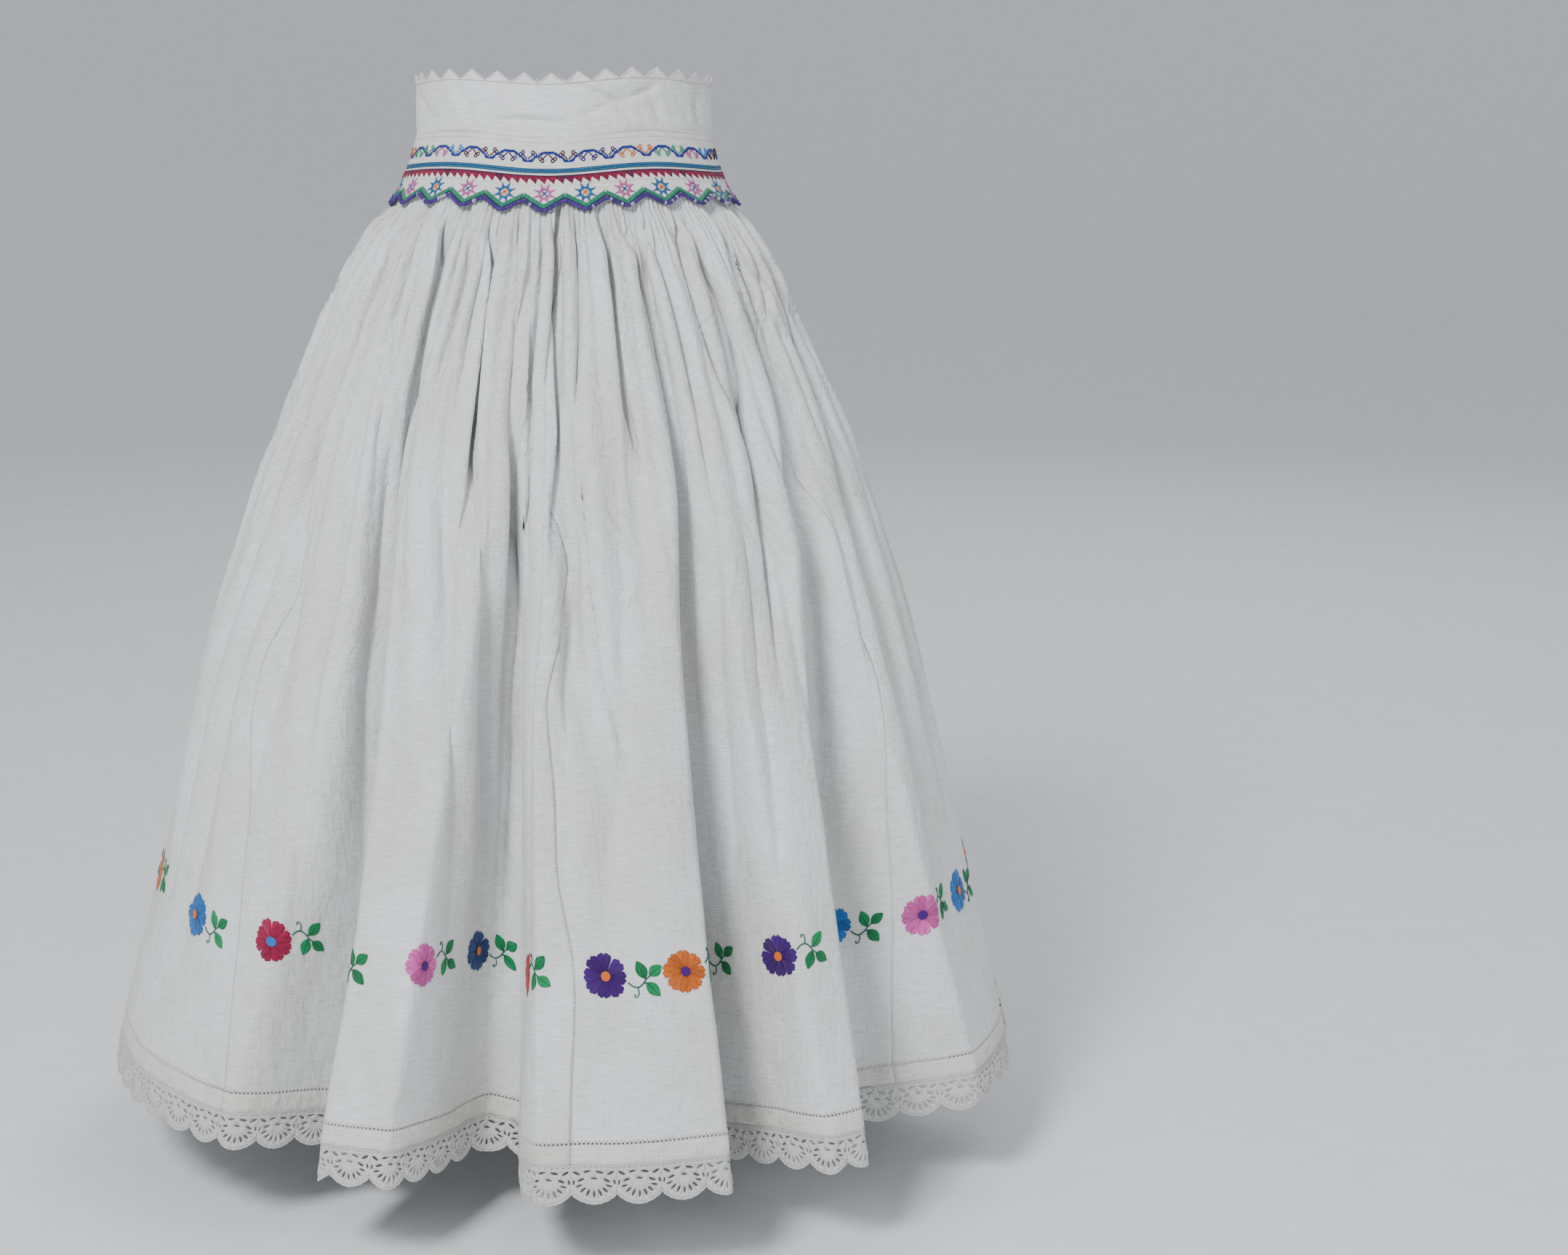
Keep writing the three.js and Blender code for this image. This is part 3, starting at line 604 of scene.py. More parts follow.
# %% [markdown]
# The six widths are cut straight from the loom, selvedge to selvedge, 615 mm wide. Each one
# is a grid. Its rows lie close together where the ribs are and further apart below. The hem
# is turned up double, so it stands a little prouder, and just above it a few threads were
# drawn out, which leaves a row of small square holes.

# %% The six widths
PANELS = 6
PANEL_COLUMNS = 204
PANEL_EDGE_MM = 0.02
HEMSTITCH = (735.9, 737.3)
HEM_END = 752.5
LINEN_THICK = 0.9
# how deep a seam sinks: every other one, and the one at the front
SEAM_DIP = (0.12, 0.9)
panel_rows = np.concatenate([
    np.arange(-15, 80, 5), np.arange(82, 240, 7.9), np.arange(240, 560, 11.6),
    np.arange(560, 660, 6.3), np.arange(662, 734, 9), [735.1],
    HEMSTITCH, [738.1, 742, 747, 751.4, HEM_END]])
WIDTH_MM = CLOTH_ROUND / PANELS


def skirt_width(index):
    mesh = bmesh.new()
    bmesh.ops.create_grid(mesh, x_segments=PANEL_COLUMNS, y_segments=len(panel_rows) - 1, size=0.5)
    for vert in mesh.verts:
        row = round((0.5 - vert.co.y) * (len(panel_rows) - 1))
        drop = panel_rows[row]
        inset = PANEL_EDGE_MM - 2 * PANEL_EDGE_MM * (vert.co.x + 0.5)
        out = 0.0
        if abs(vert.co.x) > 0.4999:
            front_seam = (index + 0.5 + vert.co.x) % PANELS < 0.01
            out -= SEAM_DIP[front_seam]
        if drop > HEMSTITCH[1]:
            out += 0.45 if drop < HEM_END else -0.3
        vert.co = ((index + 0.5 + vert.co.x) * WIDTH_MM + inset, -drop, out)
    gap = [f for f in mesh.faces if HEMSTITCH[0] < -f.calc_center_median().y < HEMSTITCH[1]]
    bmesh.ops.delete(mesh, geom=gap, context="FACES_ONLY")
    for face in mesh.faces:
        face.material_index = int(-face.calc_center_median().y > HEMSTITCH[1])
    node = f"skirt_panel_{index + 1}"
    piece = finish_piece(f"linen_width_{index + 1}", mesh, [SKIRT_LINEN, HEM_LINEN], on_skirt,
                         [node])
    thicken(piece, LINEN_THICK)
    return piece


WIDTHS = [skirt_width(k) for k in range(PANELS)]
area = sum(p.area for p in WIDTHS[0].data.polygons)
print("width 1:", len(WIDTHS[0].data.polygons), "faces,", round(area, 3), "m2 of cloth")

# %% [markdown]
# Most of what decorates the skirt is thread lying on cloth: bars across the drawn-thread
# hem, stitches, cords and stems. A straight stitch is a thin bar, which is a cube that is
# scaled and turned into place. A curved thread is a tube: a narrow grid that is rolled up
# round its path and welded. Both are made flat, in millimetres, and draped later.

# %% Bars and tubes of thread
def dyed(mesh, faces, colour):
    layer = mesh.loops.layers.float_color.get("dye") or mesh.loops.layers.float_color.new("dye")
    for face in faces:
        for loop in face.loops:
            loop[layer] = linear(colour)


def bar(mesh, start, end, width, height, lift=0.0, colour=None):
    """A straight stitch from start to end, width wide, its top that height above the lift."""
    start, end = Vector(start), Vector(end)
    along = end - start
    turn = Matrix.Rotation(math.atan2(along.y, along.x), 4, "Z")
    scale = Matrix.Diagonal((along.length, width, height, 1))
    middle = (start + end) / 2
    place = Matrix.Translation((middle.x, middle.y, lift + height / 2)) @ turn @ scale
    made = bmesh.ops.create_cube(mesh, size=1, matrix=place)["verts"]
    top = [v for v in made if v.co.z > lift + height / 2]
    centre = Vector((middle.x, middle.y, lift + height))
    for vert in top:
        vert.co = centre + (vert.co - centre) * 0.72
    faces = {face for vert in made for face in vert.link_faces}
    if colour:
        dyed(mesh, faces, colour)
    return faces


# far round the skirt a mesh keeps places to about a thousandth of a millimetre: welds reach past it
WELD_MM = 2e-3


def tube(mesh, path, radius, sides=5, colour=None):
    """A thread along flat points (x, y, height). It is a grid that is rolled up and welded.
    The colour is one for the whole thread, or a list with one for each step."""
    points = np.array(path, float)
    steps = len(points) - 1
    ways = np.gradient(points, axis=0)
    sideways = np.stack([-ways[:, 1], ways[:, 0]], 1)
    sideways /= np.linalg.norm(sideways, axis=1, keepdims=True)
    sizes = np.broadcast_to(radius, steps + 1)
    made = bmesh.ops.create_grid(mesh, x_segments=steps, y_segments=sides, size=1)["verts"]
    faces = {face for vert in made for face in vert.link_faces}
    if isinstance(colour, list):
        for face in faces:
            dyed(mesh, [face], colour[int((face.calc_center_median().x + 1) / 2 * steps)])
    elif colour:
        dyed(mesh, faces, colour)
    for vert in made:
        k = round((vert.co.x + 1) / 2 * steps)
        angle = -math.pi * (vert.co.y + 1)
        out, up = sizes[k] * math.cos(angle), sizes[k] * math.sin(angle)
        x, y, height = points[k]
        vert.co = (x + sideways[k, 0] * out, y + sideways[k, 1] * out, height + up)
    bmesh.ops.remove_doubles(mesh, verts=made, dist=WELD_MM)
    return faces


def turned_out(mesh):
    bmesh.ops.recalc_face_normals(mesh, faces=mesh.faces)
    return mesh


# %% [markdown]
# Embroidery cotton is mercerised: it was swollen in lye, so it shines like silk. The eye
# sees two things, a soft sheen across the thread and the fine ridges of one thread beside
# the next. One material does for every colour, because each stitch carries its own dye as
# a colour on its corners. The ridges follow the UV map and lie 0.9 mm apart, a little
# coarser than real thread, so that they show.

# %% The thread and the crochet materials
THREAD_RIDGE_MM = 0.9


def thread_material(name, roughness, ridge):
    material, tree, shader = new_material(name, roughness, sheen=0.08)
    uv = add(tree, "ShaderNodeUVMap", uv_map="cloth").outputs["UV"]
    dye = add(tree, "ShaderNodeAttribute", attribute_name="dye").outputs["Color"]
    mottle = stretch(tree, noise(tree, uv, (1.2, 4), 3), 0.3, 0.7)
    shade = blend_colours(tree, mottle, linear("#c4c4c4"), linear("#ffffff"))
    colour = blend_colours(tree, 1.0, dye, shade, "MULTIPLY")
    tree.links.new(colour, shader.inputs["Base Color"])
    ridges = stripes(tree, uv, THREAD_RIDGE_MM, "X", 0.8)
    tree.links.new(bump(tree, ridges, ridge, 0.7), shader.inputs["Normal"])
    return material


SATIN_COTTON = thread_material("mercerised_cotton_satin_stitch", 0.52, 0.35)
STRANDED_COTTON = thread_material("stranded_cotton_cross_stitch", 0.62, 0.15)
STEM_COTTON = thread_material("stranded_cotton_stem_stitch", 0.6, 0.2)


def crochet(name, pale, deep, loop_mm):
    """Crocheted cotton: small slanted loops, shaded in the gaps between them."""
    material, tree, shader = new_material(name, 0.8, sheen=0.1)
    uv = add(tree, "ShaderNodeUVMap", uv_map="cloth").outputs["UV"]
    across = stripes(tree, uv, loop_mm, "X", 2.5)
    down = stripes(tree, uv, 0.8 * loop_mm, "Y", 2.5)
    loops = add(tree, "ShaderNodeMath", {0: across, 1: down}, operation="MULTIPLY").outputs[0]
    lit = stretch(tree, loops, 0.05, 0.5)
    tree.links.new(blend_colours(tree, lit, linear(deep), linear(pale)), shader.inputs["Base Color"])
    normal = bump(tree, loops, 0.6, 0.8)
    normal = bump(tree, noise(tree, uv, (3, 3), 3), 0.6, 0.5, normal)
    tree.links.new(normal, shader.inputs["Normal"])
    return material


CROCHET = crochet("crocheted_cotton_lace", "#ebebe8", "#c3c2bd", 1.7)
LOOSE_THREAD = crochet("linen_hemstitch_thread", "#eeede8", "#cfcdc6", 1.1)
SELVEDGE_THREAD = crochet("linen_seam_thread", "#e6e6e2", "#cccac4", 1.1)

# %% [markdown]
# Drawn-thread work holds the hem: a few weft threads were pulled out, and the warp threads
# that were left bare are tied in small bundles, like the rungs of a ladder. Each rung is a
# bar, 3.3 mm from the next, with a small knot on its upper end where the hem stitch bites.

# %% The hemstitch ladder
RUNG_MM = 3.3
rungs = round(CLOTH_ROUND / RUNG_MM)
mesh = bmesh.new()
for k in range(rungs):
    x = (k + 0.5) * CLOTH_ROUND / rungs
    bar(mesh, (x, -HEMSTITCH[0] + 0.5), (x, -HEMSTITCH[1] - 0.5), 2.1, 0.5, -0.3)
    lean = 0.5 if k % 2 else 0.1
    bar(mesh, (x - 0.4, -HEMSTITCH[0] + 0.1), (x + lean, -HEMSTITCH[0] + 1.9), 0.75, 0.55, -0.05)
turned_out(mesh)
finish_piece("hemstitch_ladder", mesh, [LOOSE_THREAD], on_skirt)
print("hemstitch rungs:", rungs)

# %% [markdown]
# The widths are sewn selvedge to selvedge with small overcast stitches. They draw the two
# edges together, so the seam is a fine line of slanting stitches in a shallow groove.

# %% The seams between the widths
STITCH_MM = 3.2
mesh = bmesh.new()
for seam in range(PANELS):
    for k in range(int((734 - 10) / STITCH_MM)):
        drop = 12 + k * STITCH_MM
        x = seam * WIDTH_MM
        bar(mesh, (x - 0.8, -drop), (x + 0.8, -drop - 0.9), 0.55, 0.3, -0.35)
turned_out(mesh)
finish_piece("seam_stitches", mesh, [SELVEDGE_THREAD], on_skirt)

# %% [markdown]
# The lace is crocheted sideways in one long strip: a close header along the hem, then round
# scallops, each with a ring of slanting slits about a close middle, and a fan of slits
# towards a thick corded edge. One scallop is drawn flat, as an outline with its holes, and
# filled with triangles. It is then copied 18 times for each of the six lengths. Ribs of
# thread run out between the fan's slits, and a cord lies along the edge.

# %% One scallop
SCALLOPS = 108
LACE_TOP_MM = 752.4
LACE_THICK_MM = 1.3
SCALLOP_MM = CLOTH_ROUND / SCALLOPS
SCALLOP_VALLEY = -21.0
SCALLOP_RISE = 8.2
FAN_CENTRE = (0, -13.5)
# where each slit lies: x, y, length, width, turn in degrees
RING_SLITS = [
    (-13.0, -6.4, 6.6, 2.2, -28), (-4.8, -5.2, 6.4, 2.1, 16), (4.4, -5.8, 6.6, 2.2, -14),
    (12.8, -6.2, 6.4, 2.2, 26), (-9.6, -11.6, 6.0, 2.1, 20), (0.2, -10.6, 5.4, 1.9, -8),
    (9.6, -12.0, 6.0, 2.2, -24), (-15.2, -13.4, 4.2, 1.7, 80), (15.4, -13.0, 4.2, 1.8, -76),
]
# the fan's slits: angle, distance from the fan's centre, length, width
FAN_SLITS = [(-165, 11.6, 5.6, 1.9), (-141, 10.6, 5.8, 2.1), (-116, 10.2, 6.2, 2.2), (-90, 10.4, 5.6, 2.1),
             (-64, 10.2, 6.2, 2.2), (-39, 10.6, 5.8, 2.1), (-15, 11.6, 5.6, 1.9)]
PINHOLES = [(-15.2, -2.4), (-11, -2.3), (-6.6, -2.2), (-2.2, -2.3), (2.4, -2.4), (6.8, -2.3), (11.2, -2.2),
            (15.4, -2.5)]


def scallop_edge(x):
    """The lower edge: a round scallop made of seven little lobes."""
    t = x / SCALLOP_MM
    lobes = 0.55 * abs(math.sin(7 * math.pi * (t + 0.5)))
    lobes *= min(1, 8 * (0.5 - abs(t)))
    return SCALLOP_VALLEY - SCALLOP_RISE * math.cos(math.pi * t) ** 0.75 - lobes


def scallop_template():
    mesh = bmesh.new()
    half = SCALLOP_MM / 2
    steps = 24
    outline = [(-half, 0), (-half, -7), (-half, -14)]
    outline += [(x, scallop_edge(x)) for x in np.linspace(-half + 1e-6, half - 1e-6, steps + 1)]
    outline += [(half, -14), (half, -7), (half, 0), (0, 0)]
    verts = [mesh.verts.new((x, y, 0)) for x, y in outline]
    edges = [mesh.edges.new((verts[k - 1], verts[k])) for k in range(len(verts))]

    def hole(x, y, length, width, turn, sides):
        shape = Matrix.Translation((x, y, 0)) @ Matrix.Rotation(math.radians(turn), 4, "Z")
        shape @= Matrix.Diagonal((length / 2, width / 2, 1, 1))
        ring = bmesh.ops.create_circle(mesh, segments=sides, radius=1, matrix=shape)["verts"]
        edges.extend({edge for vert in ring for edge in vert.link_edges})

    for x, y, length, width, turn in RING_SLITS:
        hole(x, y, length, width, turn, 7)
    for angle, away, length, width in FAN_SLITS:
        x = FAN_CENTRE[0] + away * math.cos(math.radians(angle))
        y = FAN_CENTRE[1] + 0.86 * away * math.sin(math.radians(angle))
        hole(x, y, length, width, angle, 7)
    for x, y in PINHOLES:
        hole(x, y, 1.1, 1.0, 0, 4)
    bmesh.ops.triangle_fill(mesh, use_beauty=True, use_dissolve=False, edges=edges, normal=(0, 0, 1))
    grown = bmesh.ops.extrude_face_region(mesh, geom=mesh.faces)["geom"]
    lower = [g for g in grown if isinstance(g, bmesh.types.BMVert)]
    bmesh.ops.translate(mesh, verts=lower, vec=(0, 0, -LACE_THICK_MM))
    turned_out(mesh)
    for angle in (-153, -128, -103, -77, -52, -27):
        way = Vector((math.cos(math.radians(angle)), 0.86 * math.sin(math.radians(angle)), 0))
        centre = Vector((*FAN_CENTRE, 0))
        tube(mesh, [centre + way * away for away in (4.6, 5.2, 9, 14.2, 14.6)], [0, 0.5, 0.6, 0.6, 0], 4)
    data = bpy.data.meshes.new("scallop")
    mesh.to_mesh(data)
    mesh.free()
    return data


scallop = scallop_template()
print("one scallop:", len(scallop.polygons), "faces,", round(SCALLOP_MM, 1), "mm wide")


# %% Six lengths of lace
def lace_length(index):
    mesh = bmesh.new()
    per = SCALLOPS // PANELS
    for k in range(per):
        before = len(mesh.verts)
        mesh.from_mesh(scallop)
        mesh.verts.ensure_lookup_table()
        bmesh.ops.translate(mesh, verts=mesh.verts[before:], vec=(
            (index * per + k + 0.5) * SCALLOP_MM, -LACE_TOP_MM, 0))
    start, stop = index * WIDTH_MM + 0.2, (index + 1) * WIDTH_MM - 0.2
    edge = []
    for x in np.linspace(start, stop, per * 20 + 1):
        t = (x / SCALLOP_MM) % 1 - 0.5
        edge.append((x, scallop_edge(t * SCALLOP_MM) - LACE_TOP_MM + 0.1, -LACE_THICK_MM / 2))
    tube(mesh, edge, 0.95, 6)
    for depth, radius in ((0.3, 0.6), (1.3, 0.45), (3.9, 0.5)):
        line = [(x, -LACE_TOP_MM - depth, 0) for x in np.linspace(start, stop, per * 8 + 1)]
        tube(mesh, line, radius, 4)
    turned_out(mesh)
    piece = finish_piece(f"lace_length_{index + 1}", mesh, [CROCHET], on_skirt,
                         [f"lace_{index + 1}"])
    return piece


LACE = [lace_length(k) for k in range(PANELS)]
print("lace:", sum(len(p.data.polygons) for p in LACE), "faces")

# %% [markdown]
# The two bands have a form of their own: a waist a little wider than deep, which flares
# below. Here the flat x is the distance round the band from the front, y is the height and z
# stands up from the cloth. The plain band is soft with age, so it gets a list of creases:
# lines that are pressed in or raised, with a round section. Both bands hang in a soft wave at
# the front. The lower band's zigzag edge is free, so it lifts a little over the gathers.

# %% The bands' form
BAND_HEIGHTS = [-58, -54, -46, -38, -24, -10, 7, 14, 26, 49, 62]
BAND_HALF_WIDTHS = [149.4, 146.8, 142, 137.7, 131.5, 126.2, 122.2, 122.3, 122.4, 122.6, 123.3]
DEPTH_DIFFERENCE = 28
BAND_COLUMNS = 2400
BAND_TURNS = np.arange(BAND_COLUMNS + 1) / BAND_COLUMNS
FLATTER_FRONT = 0.12
band_angles = np.radians(FRONT_SEAM_ANGLE) + 2 * np.pi * BAND_TURNS
band_angles -= FLATTER_FRONT / 2 * np.sin(2 * band_angles)


def band_ring(z):
    half_width = read(BAND_HEIGHTS, BAND_HALF_WIDTHS, z)
    half_depth = half_width - DEPTH_DIFFERENCE
    across, deep = np.cos(band_angles), np.sin(band_angles)
    radius = half_width * half_depth / np.hypot(half_depth * across, half_width * deep)
    return np.stack([radius * across, radius * deep, np.full_like(radius, z)], 1)


band_rows = np.arange(62, -59, -1.0)
BAND = np.stack([band_ring(z)[:-1] for z in band_rows])
nominal = band_ring(-10)
BAND_ALONG = np.concatenate([[0], np.cumsum(np.linalg.norm(np.diff(nominal, axis=0), axis=1))])
BAND_ROUND = float(BAND_ALONG[-1])
print("band:", round(BAND_ROUND), "mm round")

# %% Creases of the plain band: depth, width, then points (distance from the front, height)
BAND_FOLDS = [
    (-1.6, 2.4, [(-62, 17), (-40, 19), (-12, 16.5), (2, 15)]),
    (1.3, 3.0, [(-60, 21), (-36, 23), (-8, 20)]),
    (-1.8, 2.6, [(6, 47), (24, 40), (40, 33), (52, 24), (58, 14)]),
    (1.4, 3.4, [(12, 49), (30, 43), (47, 35)]),
    (-1.6, 2.2, [(40, 33), (56, 36), (74, 42), (84, 48)]),
    (-1.4, 2.4, [(38, 30), (24, 24), (12, 21)]),
    (1.2, 3.4, [(36, 26), (50, 17), (66, 12)]),
    (-1.3, 2.2, [(68, 40), (80, 28), (88, 12)]),
    (-1.2, 2.6, [(-96, 44), (-84, 30), (-80, 14)]),
    (1.0, 3.0, [(-104, 40), (-92, 24), (-90, 10)]),
    (-1.6, 3.0, [(132, 46), (126, 30), (136, 12)]),
    (-1.5, 2.6, [(160, 42), (178, 30), (200, 24)]),
    (1.2, 3.2, [(210, 46), (230, 34), (252, 30)]),
    (-1.6, 2.6, [(268, 20), (292, 27), (318, 25)]),
    (-1.5, 2.6, [(392, 40), (416, 28), (438, 14)]),
    (1.2, 3.2, [(402, 44), (424, 34), (446, 22)]),
    (-1.5, 2.4, [(476, 16), (498, 28), (506, 44)]),
    (-1.3, 2.8, [(548, 40), (566, 26), (590, 18)]),
]
band_x = BAND_ALONG[:-1][None, :]
band_z = band_rows[:, None]
band_heights = np.zeros((len(band_rows), BAND_COLUMNS))


def distance_to(points):
    """The distance of every place on the band to a line through points, and its strength."""
    nearest = np.full(band_heights.shape, 1e9)
    place = np.zeros(band_heights.shape)
    for k, (start, end) in enumerate(zip(points, points[1:])):
        step = (end[0] - start[0], end[1] - start[1])
        across = (band_x - start[0] + BAND_ROUND / 2) % BAND_ROUND - BAND_ROUND / 2
        t = (across * step[0] + (band_z - start[1]) * step[1]) / (step[0] ** 2 + step[1] ** 2)
        t = np.clip(t, 0, 1)
        away = np.hypot(across - t * step[0], band_z - start[1] - t * step[1])
        closer = away < nearest
        nearest[closer] = away[closer]
        place[closer] = ((k + t) / (len(points) - 1))[closer]
    return nearest, np.sin(np.pi * np.clip(0.06 + 0.88 * place, 0, 1))


for depth, width, points in BAND_FOLDS:
    away, strength = distance_to(points)
    line = np.exp(-(away / width) ** 2)
    slopes = 0.6 * np.exp(-(away / 3.2 / width) ** 2)
    band_heights += 1.3 * depth * strength * (line + slopes)


def band_noise(cells_round, cells_down, seed):
    knots = np.random.default_rng(seed).normal(0, 1, (cells_down + 3, cells_round))
    return bicubic(knots, BAND_TURNS[:-1] * cells_round, np.linspace(0, cells_down - 1e-6, len(band_rows)))


plain = np.clip((band_z - 4) / 8, 0, 1)
band_heights += (1.2 * band_noise(26, 5, 31) + 0.35 * band_noise(70, 12, 32)) * plain
band_heights -= 0.7 * np.exp(-((band_z - 8.5) / 1.6) ** 2)
loose = np.clip((-30 - band_z) / 22, 0, 1) ** 1.5
side = 0.35 + 0.65 * np.abs(np.cos(band_angles[:-1]))[None, :] ** 2
band_heights += loose * side * (1.2 + 2.2 * band_noise(44, 3, 33))
band_heights += 0.16 * band_noise(160, 26, 34)
BAND = BAND + normals_of(BAND) * band_heights[..., None]
BAND_NORMALS = normals_of(BAND)


def waist_wave(turn):
    """How much higher the bands hang at one place: a soft wave at the front, none at the back."""
    front = 0.5 + 0.5 * np.cos(2 * np.pi * turn)
    return 2.7 * np.cos(8 * np.pi * (turn - 0.105)) * front


def turn_of(x):
    return np.interp(x % BAND_ROUND, BAND_ALONG, BAND_TURNS)


def along_of(turn):
    return float(np.interp(turn % 1, BAND_TURNS, BAND_ALONG)) + BAND_ROUND * math.floor(turn)


def on_band(flat):
    """Flat band millimetres (along, height, out) to places in the frame, in metres."""
    turns = turn_of(flat[:, 0])
    rows = band_rows[0] - flat[:, 1] - waist_wave(turns)
    columns = turns * BAND_COLUMNS
    normal = sample(BAND_NORMALS, rows, columns)
    normal /= np.linalg.norm(normal, axis=1, keepdims=True)
    return (sample(BAND, rows, columns) + normal * flat[:, 2:]) * MM


# %% A band of cloth between two height lines
def band_cloth(name, columns, rows, top, low, thickness, material, node):
    mesh = bmesh.new()
    bmesh.ops.create_grid(mesh, x_segments=columns, y_segments=rows, size=0.5)
    for vert in mesh.verts:
        turn = vert.co.x + 0.5
        share = 0.5 - vert.co.y
        x = BAND_ROUND if turn > 1 - 1e-6 else along_of(turn)
        vert.co = (x, top(turn) * (1 - share) + low(turn) * share, 0)
    piece = finish_piece(name, mesh, [material], on_band, [node], closed=True)
    return thicken(piece, thickness)


TOP_POINTS = 31
TEETH = 24


def zigzag(turn, count, at_whole, at_half):
    """A line that runs straight from one height at whole steps to another halfway between."""
    t = abs((turn * count) % 1 - 0.5) * 2
    return at_half + (at_whole - at_half) * t


def top_line(turn):
    """The plain band's upper edge: it dips a little at the back."""
    return 47 + 2.2 * math.cos(2 * math.pi * turn) + 0.5 * math.sin(6 * math.pi * turn)


def point_edge(turn):
    return top_line(turn) + zigzag(turn, TOP_POINTS, -0.4, 7.6)


def tooth_edge(turn):
    return zigzag(turn, TEETH, -40.5, -49.5)


# each linen's second colour is its darker tone, partly painted shade beside the slubs
BAND_LINEN = linen("band_linen_soft_with_age", "#eceef0", "#d4d5d4", 0.8)
EMBROIDERY_LINEN = linen("embroidery_ground_linen", "#e9e9e8", "#d0cfcb", 0.5)
WAISTBAND_THICK, EMBROIDERED_THICK = 1.5, 1.2
WAISTBAND_LOW, EMBROIDERED_TOP = 6.6, 6.9
WAISTBAND = band_cloth("waistband_linen", 310, 24, top_line, lambda turn: WAISTBAND_LOW,
                       WAISTBAND_THICK, BAND_LINEN, "waistband")
EMBROIDERED = band_cloth("embroidered_band_linen", 336, 22, lambda turn: EMBROIDERED_TOP, tooth_edge,
                         EMBROIDERED_THICK, EMBROIDERY_LINEN, "embroidered_band")
print("bands:", len(WAISTBAND.data.polygons) + len(EMBROIDERED.data.polygons), "faces")

# %% [markdown]
# The edging along the top is a strip folded into small points, like a paper crown. Each
# point has a soft crease down from its tip, and a fine thread runs along the fold.

# %% The pointed edging
EDGE_STEPS = 12
mesh = bmesh.new()
bmesh.ops.create_grid(mesh, x_segments=TOP_POINTS * EDGE_STEPS, y_segments=5, size=0.5)
for vert in mesh.verts:
    turn = vert.co.x + 0.5
    share = 0.5 - vert.co.y
    phase = (turn * TOP_POINTS) % 1
    low = top_line(turn) - 0.9
    z = point_edge(turn) * (1 - share) + low * share
    crease = 0.5 * math.exp(-((phase - 0.5) / 0.06) ** 2)
    crease -= 0.35 * math.exp(-((phase - 0.25) / 0.1) ** 2)
    x = BAND_ROUND if turn > 1 - 1e-6 else along_of(turn)
    vert.co = (x, z, 0.35 + crease * (1 - share))
POINTS = finish_piece("point_edging_folded", mesh, [BAND_LINEN], on_band,
                      ["top_points"], closed=True)
EDGING_THICK = 1.4
thicken(POINTS, EDGING_THICK)

mesh = bmesh.new()
edge = [(along_of(turn), point_edge(turn), -0.3) for turn in np.linspace(0, 1, TOP_POINTS * 8 + 1)[:-1]]
edge.append((BAND_ROUND, edge[0][1], edge[0][2]))
tube(mesh, edge, 0.75, 6)
foot = [(x, top_line(x / BAND_ROUND) - 0.6, 0.4) for x in np.linspace(0, BAND_ROUND, 360)]
tube(mesh, foot, 0.3, 4)
for k in range(TOP_POINTS * 9):
    turn = (k + 0.5) / (TOP_POINTS * 9)
    x, z = along_of(turn), point_edge(turn)
    bar(mesh, (x, z - 1.5), (x + 0.4, z + 0.3), 0.5, 0.45, 0.35)
turned_out(mesh)
finish_piece("point_edging_threads", mesh, [LOOSE_THREAD], on_band)

# %% [markdown]
# A line of small running stitches closes the seam between the two bands, and a second one,
# almost as pale as the cloth, runs above the stars. They are what makes cloth look sewn.

# %% Running stitches on the bands
RUNNING_MM = 3.0
mesh = bmesh.new()
for z, lift in ((8.6, -0.6), (-30.6, 0.0), (2.8, 0.0)):
    for k in range(int(BAND_ROUND / RUNNING_MM)):
        x = k * RUNNING_MM
        bar(mesh, (x, z), (x + 1.9, z + 0.15), 0.5, 0.3, lift)
turned_out(mesh)
finish_piece("band_running_stitches", mesh, [SELVEDGE_THREAD], on_band)

# %% [markdown]
# The embroidered band reads from the top down: a cross-stitch vine with a sprig in each of
# its bends, two blue lines, a crimson saw edge, a star over each tooth, and satin stitch and
# cord along the zigzag. It is counted work: the vine is charted on a grid of about
# 1 mm, as rows of text, and each letter becomes one cross of two bars.

# %% The vine: one wave, from the middle of a crest to the middle of the next
NAVY, PLUM_RED, PURPLE, ORANGE = "#1f3494", "#561a3c", "#3d2374", "#e2803a"
GREEN, PINK, SKY, TEAL = "#2f9a72", "#cc5fa4", "#2f8fc6", "#2480ad"
WAVES_ROUND = 22
CELL_MM = 1.0
ROW_MM = 0.84
VINE_Z = -8.3
vine_rows = [
    "XXXXX.......................XXXX",
    "XXXXXXX...................XXXXXX",
    ".....XXX.................XXX....",
    "......XXX...............XXX.....",
    "........XXX...........XXX.......",
    ".........XXX.........XXX........",
    "...........XX.......XX..........",
    "............XX.....XX...........",
    "............XXXX.XXXX...........",
    ".............XXXXXXX............",
]
SPRIG_CELLS = [(0.9, 0.9), (1.8, 1.8), (2.7, 2.7), (3.6, 3.6)]
SPRIG_LOOPS = [(4.1, 5.6, 1.25), (5.9, 4.0, 1.25)]
# the colour of the sprig below each crest and of the one above the trough after it
SPRIGS = [(PLUM_RED, PLUM_RED), (PURPLE, PURPLE), (ORANGE, ORANGE), (GREEN, GREEN), (PINK, SKY)]


def cross(mesh, x, y, colour, size=CELL_MM):
    half = 0.5 * size
    bar(mesh, (x - half, y - half), (x + half, y + half), 0.7, 0.4, 0, colour)
    bar(mesh, (x - half, y + half), (x + half, y - half), 0.7, 0.52, 0, colour)


